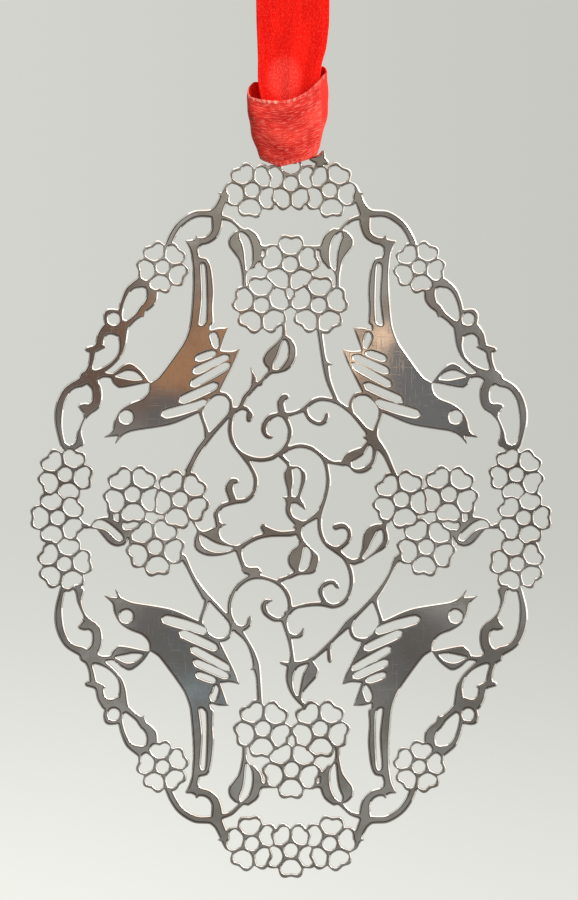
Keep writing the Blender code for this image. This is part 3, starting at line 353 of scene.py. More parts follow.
ribbon = dict(axis=-36.82, width=10.0, cloth=0.16)
tailSet = dict(foot=-31.4, crown=-0.05, gap=0.42, rise=17.5, bellyOut=6.6, rows=150, columns=61, rounds=6,
               pleats=2.6, pleat=0.11, pleated=(24, 9), rearPleats=4.3, rearShare=0.8, bulge=0.12,
               bulged=(12, 30),
               halves=[(5, 3.1), (9, 4.0), (10.9, 4.25), (13.3, 4.35), (15, 4.67), (18.4, 4.95), (22, 5.0)],
               middles=[(5, -0.2), (10.9, -0.3), (13.3, -0.15), (15, 0.12), (18.4, 0.26), (22, 0.25),
                        (30, 0.0)])


def byHeight(table, height):
    # a measure given at a few heights, its corners eased by averaging neighbours
    value = np.interp(height, *np.transpose(table))
    for _ in range(tailSet["rounds"]):
        value[1:-1] = (value[:-2] + value[2:] + 2 * value[1:-1]) / 4
    return value


def makeTails():
    # one strip up the front, over the hanging point and down the back: each half a cubic Bezier curve in
    # (y, z), its width laid along x; it narrows to the hitch, where pleats, sine waves, take up the width
    t = np.linspace(0, 1, tailSet["rows"])[:, None]
    foot, crown, gap = tailSet["foot"], tailSet["crown"], tailSet["gap"]
    hold = np.array([[-gap, foot], [-gap, foot + tailSet["rise"]], [-tailSet["bellyOut"], crown], [0, crown]])
    up = ((1 - t) ** 3 * hold[0] + 3 * (1 - t) ** 2 * t * hold[1]
          + 3 * (1 - t) * t ** 2 * hold[2] + t ** 3 * hold[3])
    path = np.concatenate([up, (up * [-1, 1])[-2::-1]])
    height = path[:, 1:] - ribbon["axis"]
    u = np.linspace(-1, 1, tailSet["columns"])
    steps = lengthAlong(path)
    slope = np.gradient(path, axis=0)
    slope /= np.linalg.norm(slope, axis=1, keepdims=True)
    fold = tailSet["pleat"] * smoothStep(*tailSet["pleated"], height)
    lay = np.sin(u * math.pi * tailSet["pleats"] + 0.6 + 0.05 * height) * (0.55 + 0.45 * np.sin(u * 2.3 + 1))
    front = fold * lay + tailSet["bulge"] * smoothStep(*tailSet["bulged"], height) * (1 - u * u)
    rear = fold * np.sin(u * math.pi * tailSet["rearPleats"] + 1.9) * tailSet["rearShare"]
    lift = np.where(path[:, :1] > 0, rear, front)
    x = byHeight(tailSet["middles"], height) + byHeight(tailSet["halves"], height) * u
    y = path[:, :1] - lift * slope[:, 1:]
    z = path[:, 1:] + lift * slope[:, :1]
    grid = np.stack([x, y, z], axis=-1) * mm
    uv = np.stack(np.broadcast_arrays((u + 1) / 2, steps[:, None] / ribbon["width"]), axis=-1)
    cloth = np.full(len(path), ribbon["cloth"] * mm)
    piece = clothShell("ribbonTails", grid, uv, cloth, [redReverseSheen, redFace])
    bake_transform(piece)
    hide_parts("ribbon_top_loop")
    print("tails", round(float(steps[-1]), 1), "mm long")


# stations of the hitch: the ribbon's lower and upper edge as x, y and height. The left strand goes down and
# through the hole, the bight out over the left shoulder, across the front and back over the right one;
# the right strand is the left one mirrored
hitchSet = dict(
    along=300, across=121, folds=13, bow=0.66, spread=(3.0, 8.5), pleated=(9.2, 5.5), tight=(0.7, 2.5),
    tightShare=0.6, creases=(0.10, 0.05), smoothEdge=0.12, thinnest=0.22,
    strand=[
        [(-1.50, -0.62, 5.2), (-0.20, -0.62, 5.2)],
        [(-0.82, -0.62, 1.6), (-0.14, -0.62, 1.6)],
        [(-0.78, -0.56, 0.05), (-0.14, -0.56, 0.05)],
        [(-0.78, -0.30, -0.38), (-0.14, -0.30, -0.38)],
        [(-0.78, 0.30, -0.38), (-0.14, 0.30, -0.38)],
        [(-0.78, 0.56, 0.05), (-0.14, 0.56, 0.05)],
        [(-1.05, 0.85, 0.75), (-0.14, 0.85, 1.7)]],
    bight=[
        [(-2.10, 1.20, 0.55), (-0.75, 1.45, 5.6)],
        [(-3.25, 1.15, 0.35), (-2.70, 1.70, 9.6)],
        [(-4.02, 0.65, 0.25), (-4.75, 1.15, 10.8)],
        [(-4.10, 0.20, 0.16), (-5.80, 0.50, 9.75)],
        [(-3.40, -0.50, -0.25), (-5.45, -0.45, 8.60)],
        [(-1.55, -1.05, -0.90), (-3.10, -1.20, 8.02)],
        [(0.10, -1.30, -0.62), (-0.40, -1.68, 8.04)],
        [(1.90, -1.30, -0.15), (1.80, -1.75, 8.95)],
        [(3.20, -1.10, 0.45), (3.60, -1.50, 10.5)],
        [(3.42, -0.65, 0.65), (4.25, -1.05, 11.3)],
        [(3.52, 0.00, 0.85), (4.85, -0.10, 12.1)],
        [(3.48, 0.65, 0.85), (4.15, 0.95, 12.8)],
        [(3.05, 1.15, 0.75), (2.60, 1.65, 10.2)],
        [(2.00, 1.20, 0.65), (0.75, 1.45, 5.6)]])


def makeHitch():
    # the bight and its two strands as one strip: straight lines from edge to edge of each station, bowed
    # outwards as a parabola, and pleated as a sine wave where the strip is gathered, so that its width over
    # the folds stays the ribbon's; the slight creases are slow sine waves
    strand = np.array(hitchSet["strand"])
    stations = np.concatenate([strand, hitchSet["bight"], strand[::-1] * [-1, 1, 1]])
    edges = throughStations(stations, hitchSet["along"])
    u = np.linspace(0, 1, hitchSet["across"])[None, :, None]
    sheet = edges[:, None, 0] * (1 - u) + edges[:, None, 1] * u
    normal = gridNormals(sheet)
    wide = np.linalg.norm(edges[:, 1] - edges[:, 0], axis=1)[:, None]
    spread = smoothStep(*hitchSet["spread"], wide)
    u = u[..., 0]
    bow = spread * hitchSet["bow"] * 4 * u * (1 - u)
    count = 2 * hitchSet["folds"]
    least = hitchSet["tightShare"]
    deep = 0.5 * np.sqrt(np.maximum(ribbon["width"] ** 2 - wide ** 2, 0)) / count
    eased = least + (1 - least) * smoothStep(*hitchSet["tight"], wide)
    deep = deep * smoothStep(*hitchSet["pleated"], wide) * eased
    fold = deep * np.sin(u * math.pi * count)
    run = np.linspace(0, 1, hitchSet["along"])[:, None]
    large, small = hitchSet["creases"]
    crease = spread * (large * np.sin(7.5 * u + 26 * run) * np.sin(41 * run + 2.0 * u)
                       + small * np.sin(19 * u - 33 * run + 1.2))
    inset = smoothStep(0, hitchSet["smoothEdge"], u) * smoothStep(1, 1 - hitchSet["smoothEdge"], u)
    sheet = sheet + normal * (bow + fold + crease * inset)[..., None]
    grid = (sheet + [0, 0, ribbon["axis"]]) * mm
    steps = lengthAlong(edges.mean(axis=1))
    uv = np.stack(np.broadcast_arrays(u, steps[:, None] / ribbon["width"]), axis=-1)
    cloth = ribbon["cloth"] * mm * (hitchSet["thinnest"] + (1 - hitchSet["thinnest"]) * spread)
    piece = clothShell("ribbonHitch", grid, uv, cloth, [redCuff, redFace])
    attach(piece, "hitch")
    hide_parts("ribbon_strand_left", "ribbon_strand_right", "ribbon_cuff")
    print("hitch", round(float(steps[-1]), 1), "mm of ribbon")


# plate, in mm and degrees

plateSet = dict(
    # the solid's rim, smoothed
    straight=2.0, corner=70.0, smallCorner=112.0, smallRound=11.5, pull=1.06, step=0.26, bend=16.0,
    # the grid of depths, its strokes and openings
    pitch=0.06, reach=0.42, margin=1.2, batch=1500, middle=-85.5, perSpan=6, around=1.6, fillet=0.14,
    # outlines
    grow=0.03, rounds=3, even=0.62, curl=27.0, fewest=8, least=0.9, mitre=0.55,
    # the flat face inside the edge, and the steps of the edge: outwards from the rim, and y
    probe=(0.03, 0.42, 0.03), leastWidth=0.01, widthRounds=2, ease=0.84, thinnest=0.02,
    mends=6, mendReach=(0.25, 0.05), mendBy=0.45, spread=60,
    rings=[(-0.36, -0.25), (-0.19, -0.223), (-0.095, -0.178), (0.0, -0.095), (0.03, 0.0), (0.01, 0.15),
           (-0.10, 0.25)])

# blossoms: centre from the sheet's middle, turn of the first petal, size. Each group also stands mirrored:
# copies gives the signs of x and z, and the turn added. A petal's rim and hole are radii by angle.
# The blossom on the axis above hanging carries the ribbon, and its petal kept stays as it is in the solid
blossomSet = dict(
    quarters=[((5.3, 44.6), 60, 1.0), ((17.5, 34.1), 62, 0.94)],
    sides=[((30.8, 5.8), 45, 1.0), ((31.8, -0.1), 0, 1.0), ((30.9, -6.4), 30, 1.0),
           ((21.6, 3.1), 52, 1.06), ((15.1, 2.4), 64, 1.06), ((18.5, -4.1), 48, 1.06)],
    ends=[((0.0, 45.5), 18, 1.0)],
    clusters=[((-0.1, 34.5), 16, 1.06), ((-4.0, 28.9), 20, 1.06), ((3.8, 28.9), 15, 1.06)],
    copies=dict(quarters=[(1, 1, 0), (-1, 1, 180), (1, -1, 0), (-1, -1, -180)],
                sides=[(1, 1, 0), (-1, 1, 180)], ends=[(1, 1, 0), (1, -1, 0)],
                clusters=[(1, 1, 0), (-1, -1, 180)]),
    petal=[(0, 3.58), (5, 3.66), (11, 3.84), (18, 3.88), (25, 3.64), (31, 3.26), (36, 3.0)],
    hole=[(0, 0.76), (16, 0.90), (32, 1.13), (48, 1.33), (68, 1.45), (80, 1.47), (97, 1.29), (121, 1.16),
          (146, 1.12), (164, 1.06), (180, 1.03)],
    rimPoints=73, holePoints=121, petals=5, holeAt=2.35, eye=0.92, shared=0.36, reach=3.55, slack=0.6,
    around=4.6, notch=(0.72, 0.4), notchDeep=0.3, notchWide=30, hanging=40, kept=1)


# strokes and openings of one quarter of the border, which stand four times: x, z from the sheet's middle,
# and for a stroke its width there
borderStrokes = dict(
    rightBump=[
        (18.99, 31.09, 1.62), (18.99, 30.06, 1.54), (19.42, 29.04, 1.37), (20.18, 28.44, 1.06),
        (20.58, 27.76, 1.02), (21.46, 27.08, 0.89), (22.4, 26.23, 1.06)],
    topWeb=[(21.12, 31.77, 1.02), (20.1, 32.11, 1.71), (18.99, 31.51, 1.54)],
    leftArc=[
        (21.12, 31.94, 0.94), (22.15, 31.09, 0.85), (22.74, 29.89, 0.78), (23.09, 28.7, 0.78),
        (23.22, 27.5, 0.78), (22.91, 26.48, 0.85)],
    underRing=[(25.13, 25.97, 0.85), (24.02, 25.54, 1.19), (22.83, 25.63, 1.19)],
    rightLimb=[
        (22.66, 26.14, 1.02), (22.83, 24.77, 1.06), (23.03, 23.41, 1.02), (23.51, 22.22, 0.99),
        (24.37, 21.19, 0.94), (25.39, 20.34, 0.94), (26.24, 19.66, 1.02)],
    leftLimb=[
        (25.39, 25.8, 1.02), (25.94, 24.77, 1.06), (26.07, 23.58, 1.06), (26.89, 22.56, 1.06),
        (27.13, 21.19, 0.99), (27.27, 20, 1.37)],
    thorn=[(27.78, 22.83, 0.72), (27.1, 22.86, 1.02), (26.07, 23.15, 0.77), (25.46, 23.15, 0.38)],
    node=[(28.12, 19.14, 1.54), (26.75, 19.31, 1.54)],
    leafStem=[(26.24, 19.31, 0.51), (25.39, 19.16, 0.27), (24.54, 19.14, 0.41)],
    hook=[
        (27.27, 18.63, 1.54), (26.58, 17.61, 1.45), (26.45, 16.41, 1.4), (26.67, 15.39, 1.45),
        (27.44, 14.79, 1.45), (28.2, 14.88, 1.37)],
    hookTail=[
        (27.61, 14.2, 0.68), (28.15, 13.6, 0.48), (28.63, 12.66, 0.61), (28.94, 11.47, 0.75),
        (28.8, 10.1, 1.19)],
    outerLimb=[
        (28.63, 18.46, 1.19), (30.34, 17.52, 1.02), (31.28, 16.24, 0.89), (31.67, 14.71, 0.94),
        (31.67, 13.17, 0.96), (31.45, 11.47, 0.96), (31.1, 9.93, 0.94)],
    leafBack=[
        (7.42, 38.58, 0.91), (7.72, 37.51, 1.67), (7.11, 36.15, 1.37), (6.58, 34.94, 0.91),
        (6.35, 33.57, 0.83)],
    leafFront=[
        (5.9, 39.03, 0.83), (5.07, 38.12, 1.29), (4.72, 36.91, 1.52), (4.61, 35.54, 1.37),
        (5.29, 34.25, 0.91)],
    tailBand=[
        (12.19, 35.09, 0.73), (11.44, 34.48, 0.79), (11.24, 32.81, 0.83), (11.12, 29.55, 0.83),
        (10.98, 26.59, 0.91)],
    tailCurl=[
        (9.96, 41.15, 1.3), (9.93, 39.96, 1.16), (10.44, 38.56, 1.16), (11.53, 37.74, 1.09),
        (12.69, 37.61, 1.02), (13.45, 37.33, 0.96)],
    tailSpikes=[(13.45, 37.33, 0.82), (14.2, 37.61, 0.34)],
    tailSpike2=[(12.69, 37.67, 0.68), (12.9, 38.29, 0.27)],
    topNode=[(8.67, 44.57, 1.3), (9.28, 43.2, 1.23), (10.03, 41.5, 1.43)])
borderRing = dict(at=(24.19, 26.99), radius=1.09, width=0.58, around=2.0, points=17)
borderOpenings = dict(
    drop=[
        (21.12, 31.17), (20.27, 31), (19.79, 30.15), (20.13, 29.25), (20.75, 28.7), (21.12, 27.98),
        (21.98, 27.2), (22.61, 26.82), (22.95, 27.3), (22.83, 28.36), (22.49, 29.55), (21.89, 30.66)],
    kidney=[
        (24.54, 24.86), (23.77, 24.52), (23.46, 23.58), (23.68, 22.3), (24.54, 21.19), (25.64, 20.48),
        (26.72, 20.12), (27.01, 20.42), (26.72, 21.45), (26.52, 22.39), (25.8, 22.8), (25.29, 23.15),
        (25.49, 23.72), (25.39, 24.35), (25.05, 24.74)],
    scroll=[
        (28.8, 17.64), (27.86, 17.47), (27.3, 16.67), (27.47, 15.82), (28.2, 15.56), (28.89, 15.36),
        (29.11, 14.88), (28.8, 14.2), (28.32, 13.77), (28.8, 12.58), (29.23, 11.55), (29.43, 10.44),
        (29.83, 9.96), (30.64, 10.02), (30.99, 10.95), (31.19, 12.49), (31.1, 14.2), (30.76, 15.82),
        (29.91, 17.18)],
    leafSlot=[
        (6.81, 38.83), (6.05, 38.27), (5.63, 37.51), (5.37, 36.45), (5.37, 34.94), (5.66, 34.03),
        (6.02, 33.69), (6.17, 34.78), (6.28, 36.15), (6.58, 37.36), (6.93, 38.2)])
# the small leaf beside the ribbon
hornStrokes = [
    [(2.45, 48.95, 0.35), (3.3, 48.75, 0.95), (4.1, 48.7, 1.2), (4.8, 48.35, 0.8)],
    [(3.95, 48.8, 1.05), (4.28, 49.32, 0.7), (4.38, 49.72, 0.28)]]
# stems from the side clusters to the vines
stemStrokes = [
    [(-14.2, 6.35, 0.61), (-12.69, 9.08, 0.75), (-11.19, 10.99, 0.82)],
    [(-14.54, -5.53, 0.68), (-13.38, -8.26, 0.61), (-11.88, -10.99, 0.68)],
    [(13.92, 6.35, 0.61), (12.83, 8.8, 0.75), (11.33, 10.99, 0.89)],
    [(14.33, -5.66, 0.61), (13.24, -8.39, 0.57), (11.33, -11.53, 0.61)]]


# leaves of the vines: what is cleared first, the strokes of both halves and the slot between, each as above;
# the leaf beside the side columns stands mirrored too
vineLeaves = dict(
    columnLeaf=dict(
        both=True,
        clear=[
            (-27.45, -0.6), (-26.5, 0.2), (-25.25, 0.4), (-23.05, 0.6), (-22.4, -1), (-22.05, -2.4),
            (-22.1, -3.9), (-23.35, -4.7), (-25, -4.3), (-26.5, -2.4), (-27.55, -2)],
        strokes=[
            [(-28, -1.45, 0.45), (-27.3, -1.3, 0.35), (-26.75, -0.55, 0.3), (-26.05, -0.3, 0.35),
             (-25.25, -0.35, 0.75), (-24.45, -0.75, 1.05), (-23.6, -1.35, 1.1), (-22.95, -2.1, 0.85),
             (-22.6, -2.95, 0.7), (-22.95, -3.55, 0.7)],
            [(-27.45, -1.45, 0.35), (-26.5, -1.6, 0.3), (-25.75, -2, 0.85), (-25.05, -2.6, 1.15),
             (-24.35, -3.3, 1.15), (-23.6, -3.65, 0.9), (-22.95, -3.5, 0.7)],
            [(-24.55, 1, 0.85), (-24.5, -0.5, 0.85)],
            [(-23.25, 0.6, 0.45), (-23.2, -0.9, 0.7)],
            [(-22.75, -2.2, 0.65), (-22.05, -2, 0.7), (-21.7, -2.8, 0.9), (-21.65, -3.9, 0.85)]],
        slot=[
            (-26.95, -1.05), (-26.5, -0.6), (-25.65, -0.6), (-24.85, -1), (-24, -1.7), (-23.35, -2.45),
            (-23.1, -3.05), (-23.5, -3.25), (-24.1, -2.75), (-24.75, -2.05), (-25.55, -1.6),
            (-26.4, -1.4)]),
    heartLeaf=dict(
        clear=[
            (-1.35, 6.35), (-0.55, 7.25), (0.7, 7.45), (1.9, 6.9), (2.45, 5.25), (2.05, 3.6), (1.45, 2.65),
            (2.45, 1), (1.75, 0.5), (0.5, 1.65), (0.25, 1.45), (0, 1.85), (-1.35, 2.3)],
        strokes=[
            [(-1.1, 8.05, 0.45), (-0.15, 6.8, 0.45)],
            [(-0.2, 6.7, 0.75), (-0.35, 5.8, 1.3), (-0.25, 4.85, 1.25), (-0.15, 3.75, 0.9),
             (-0.05, 2.55, 0.85)],
            [(0.15, 6.8, 0.4), (1, 6.6, 0.65), (1.65, 5.85, 0.85), (1.7, 4.85, 0.85), (1.35, 3.75, 0.75),
             (0.9, 2.6, 0.85)],
            [(-0.4, 2.25, 0.9), (0.95, 2.25, 0.95)],
            [(0.9, 2.2, 0.85), (1.5, 1.65, 0.7), (1.9, 1.1, 0.3)],
            [(-0.55, 2.55, 0.4), (-1.1, 2.65, 0.2)],
            [(-0.15, 2.25, 0.85), (-0.35, 1.3, 0.75), (-0.25, 0.4, 0.75), (0.35, -0.4, 0.8),
             (1.25, -1, 0.95)]],
        slot=[
            (0.4, 6.5), (0.85, 6.65), (1.25, 6.2), (1.35, 5.4), (1.25, 4.45), (1, 3.5), (0.7, 2.85),
            (0.25, 2.85), (0.2, 3.5), (0.35, 4.45), (0.45, 5.4), (0.35, 6.05)]),
    topLeaf=dict(
        clear=[
            (-4.1, 21.75), (-2.6, 23.8), (-1.35, 24.85), (-0.4, 24.9), (0.8, 23.4), (0.95, 21.65),
            (0.15, 19.85), (-1.35, 19.2), (-2.6, 18.9), (-3.3, 19.7), (-3.95, 20.7)],
        strokes=[
            [(-1.15, 24.3, 0.65), (-1.85, 23.25, 1.1), (-2.65, 22.1, 1.7), (-3.05, 21.3, 1.6),
             (-2.8, 20.4, 0.85), (-2.8, 19.85, 0.7)],
            [(-0.9, 24.55, 0.7), (-0.15, 23.9, 0.95), (0.2, 22.8, 1.15), (0, 21.5, 1.2), (-0.7, 20.5, 1.1),
             (-1.65, 19.95, 0.7), (-2.75, 19.85, 0.7)],
            [(-0.95, 25.3, 0.45), (-0.95, 24.5, 0.65)],
            [(-2.75, 19.85, 0.65), (-3.4, 19.05, 0.4), (-4.25, 18.15, 0.7)]],
        slot=[
            (-0.9, 24.1), (-0.5, 23.55), (-0.45, 22.6), (-0.8, 21.35), (-1.3, 20.55), (-1.9, 20.15),
            (-2.4, 20.3), (-2.1, 21.25), (-1.65, 22.3), (-1.3, 23.4)]),
    rightLeaf=dict(
        clear=[
            (6.8, 8), (7.35, 9.1), (8.35, 9.55), (9.4, 9.55), (10.25, 9.9), (10.8, 9.6), (11.65, 9.2),
            (11.9, 8), (11.35, 6.75), (10.25, 5.8), (8.75, 5.75), (7.8, 6.4), (6.95, 7.15)],
        strokes=[
            [(10.5, 9.9, 0.85), (9.85, 9.1, 1.05), (8.85, 8.55, 1.45), (7.9, 8.05, 1.45),
             (7.35, 7.6, 0.95)],
            [(11.35, 9.6, 0.7), (11.45, 8.8, 0.65), (11.25, 7.85, 0.75), (10.7, 6.95, 0.95),
             (9.85, 6.35, 0.85), (8.85, 6.35, 0.75), (8.25, 6.9, 0.65)],
            [(10.8, 11.25, 1.3), (11.1, 10.45, 1.5), (11.55, 9.6, 1.25)],
            [(10.65, 10.7, 0.7), (10.05, 10.85, 0.4)],
            [(6.4, 7.45, 0.45), (8.05, 7.1, 0.65)]],
        slot=[
            (10.8, 9.7), (11.1, 9.2), (11.1, 8.4), (10.8, 7.6), (10.1, 6.95), (9.2, 6.6), (8.45, 6.75),
            (8.35, 7.25), (8.85, 7.65), (9.55, 8.05), (10.15, 8.75), (10.5, 9.4)]),
    leftLeaf=dict(
        strokes=[
            [(-12.7, -2.25, 0.4), (-12.85, -3.2, 0.8), (-12.65, -4.1, 1.1), (-11.95, -4.7, 0.95),
             (-11.05, -5, 0.8), (-9.95, -5.1, 0.45), (-8.85, -4.95, 0.35), (-7.8, -4.55, 0.4)]],
        slot=[
            (-12.3, -2.65), (-11.6, -2.9), (-10.8, -3.4), (-9.7, -3.85), (-8.6, -4.05), (-7.95, -4.25),
            (-8.25, -4.55), (-9.15, -4.75), (-10.25, -4.75), (-11.35, -4.4), (-12, -3.9), (-12.35, -3.2)]),
    lowLeaf=dict(
        clear=[
            (-0.7, -5.55), (0, -4.55), (1.1, -3.6), (1.65, -3.15), (2.3, -3.6), (3.8, -5), (4.1, -6.2),
            (3.4, -7.9), (1.9, -8.1), (0.8, -8.05), (-0.15, -7.3)],
        strokes=[
            [(0.95, -2.65, 0.45), (1.5, -3.35, 0.85), (1.25, -4.3, 1.1), (0.7, -5.25, 1.9),
             (0.5, -6.15, 1.9), (0.75, -7.15, 1.05), (0.7, -7.7, 0.7)],
            [(1.85, -3.7, 0.7), (2.45, -4.45, 0.75), (3.15, -5.4, 1.25), (3.2, -6.2, 1.3),
             (2.85, -7.1, 1.3), (2.05, -7.55, 0.75), (0.95, -7.65, 0.65)],
            [(0.8, -7.7, 0.7), (-0.25, -8.2, 0.65)]],
        slot=[
            (2, -4.1), (2.55, -4.55), (2.7, -5.4), (2.45, -6.2), (2.1, -6.9), (1.65, -7.35), (1.2, -7.25),
            (1.35, -6.5), (1.6, -5.55), (1.75, -4.55)]),
    sideLeaf=dict(
        clear=[
            (9.55, -5), (9.6, -3.2), (9.95, -1.7), (10.9, -0.75), (12.4, -0.9), (13.05, -1.45),
            (13.45, -2.95), (13.05, -4.15), (11.45, -5.45), (10.25, -6.35), (9.55, -5.95)],
        strokes=[
            [(12.55, -1.35, 0.85), (11.6, -1.5, 1.1), (10.8, -2.25, 1.6), (10.4, -3.35, 1.3),
             (10.1, -4.45, 0.95), (9.6, -5.45, 0.65)],
            [(12.7, -1.55, 0.75), (12.95, -2.55, 0.8), (12.9, -3.35, 0.9), (12.4, -4.1, 0.85),
             (11.45, -4.9, 0.4), (10.5, -5.55, 0.3), (9.55, -6, 0.65)],
            [(12.85, -0.6, 0.75), (12.7, -1.45, 0.85)],
            [(9.7, -5.8, 0.7), (8.6, -6.2, 0.85)]],
        slot=[
            (12.1, -2.05), (12.5, -2.55), (12.5, -3.2), (12.1, -3.8), (11.4, -4.55), (10.65, -5.3),
            (10.05, -5.75), (9.9, -5.45), (10.45, -4.7), (11.1, -3.7), (11.6, -2.6)]),
    footLeaf=dict(
        strokes=[
            [(0, -20.15, 0.95), (-0.15, -21.25, 1.1), (-0.2, -22.3, 1.05), (0, -23.4, 0.8),
             (0.4, -24.3, 0.65), (1.1, -25.1, 0.65), (1.65, -25.6, 0.65)]]),
    curls=dict(
        strokes=[
            [(-1.3, 14, 0.85), (-1.45, 14.95, 0.85), (-1.35, 15.75, 1.05), (-0.95, 16.3, 1.05),
             (-0.55, 16.4, 0.7)],
            [(-7.9, 2.25, 1.05), (-8.35, 3.35, 1.15), (-8.4, 4.15, 1.15), (-8, 4.85, 0.95),
             (-7.45, 4.9, 0.75)],
            [(6.8, -1.15, 0.75), (6.1, -1.4, 0.95)],
            [(-3.15, -2.25, 0.95), (-3.7, -1.55, 0.95), (-3.75, -1.25, 0.7)],
            [(-5.6, 13.8, 1.05), (-5.75, 13.25, 0.75)]]))


def inOrder(starts, stops):
    # puts directed edges, one out of each point, in order loop by loop
    following = dict(zip(starts.tolist(), stops.tolist()))
    loops = []
    for point in sorted(following):
        loop = []
        while point in following:
            loop.append(point)
            point = following.pop(point)
        if loop:
            loops.append(np.array(loop))
    return loops


def rimLoops(node):
    # the front outlines of a CAD sheet in mm, metal on their left: the edges that one front triangle alone
    # uses. Points are matched in whole micrometres, and the front is what lies within ten of the foremost
    mesh = node.data
    xyz = np.empty(len(mesh.vertices) * 3)
    mesh.vertices.foreach_get("co", xyz)
    mesh.calc_loop_triangles()
    tri = np.empty(len(mesh.loop_triangles) * 3, dtype=np.int32)
    mesh.loop_triangles.foreach_get("vertices", tri)
    keys, merged = np.unique(np.round(xyz.reshape(-1, 3) * 1e6).astype(np.int64), axis=0, return_inverse=True)
    tri = merged.reshape(-1)[tri].reshape(-1, 3)
    tri = tri[(keys[tri][:, :, 1] < keys[:, 1].min() + 10).all(axis=1)]
    edges = np.concatenate([tri[:, [0, 1]], tri[:, [1, 2]], tri[:, [2, 0]]])
    code = edges[:, 0] * len(keys) + edges[:, 1]
    rim = edges[~np.isin(code, edges[:, 1] * len(keys) + edges[:, 0])]
    return [keys[loop][:, [0, 2]] / 1000 for loop in inOrder(rim[:, 0], rim[:, 1])]


def sides(points):
    # from each point of a closed outline to the next
    return np.roll(points, -1, axis=0) - points


def turns(points):
    # the turn at each point of a closed outline, in degrees
    ahead = sides(points)
    behind = np.roll(ahead, 1, axis=0)
    return np.degrees(np.arctan2(behind[:, 0] * ahead[:, 1] - behind[:, 1] * ahead[:, 0],
                                 (behind * ahead).sum(axis=1)))


def smoothRim(points):
    # the outline as cubic Hermite pieces: round through gentle turns, straight into sharp corners
    points = points[np.abs(turns(points)) > plateSet["straight"]]
    turn = np.abs(turns(points))
    ahead = sides(points)
    far = np.linalg.norm(ahead, axis=1)
    near = np.roll(far, 1)
    small = far.sum() < plateSet["smallRound"]
    corner = turn > (plateSet["smallCorner"] if small else plateSet["corner"])
    way = np.roll(ahead, 1, axis=0) / near[:, None] ** 2 + ahead / far[:, None] ** 2
    way /= np.maximum(np.linalg.norm(way, axis=1, keepdims=True), 1e-9)
    reach = plateSet["pull"] * np.minimum(near, far)
    ends = np.roll(corner, -1)
    leave = np.where(corner[:, None], ahead, way * reach[:, None])
    arrive = np.where(ends[:, None], ahead, np.roll(way * reach[:, None], -1, axis=0))
    bend = np.where(corner, 0, turn) / 2 + np.where(ends, 0, np.roll(turn, -1)) / 2
    count = np.maximum(np.ceil(far / plateSet["step"]), np.ceil(bend / plateSet["bend"])).astype(int)
    count = np.maximum(count, 1)
    piece = np.repeat(np.arange(len(points)), count)
    t = ((np.arange(len(piece)) - np.repeat(np.cumsum(count) - count, count)) / count[piece])[:, None]
    stop = np.roll(points, -1, axis=0)
    return ((2 * t ** 3 - 3 * t ** 2 + 1) * points[piece] + (t ** 3 - 2 * t ** 2 + t) * leave[piece]
            + (3 * t ** 2 - 2 * t ** 3) * stop[piece] + (t ** 3 - t ** 2) * arrive[piece])


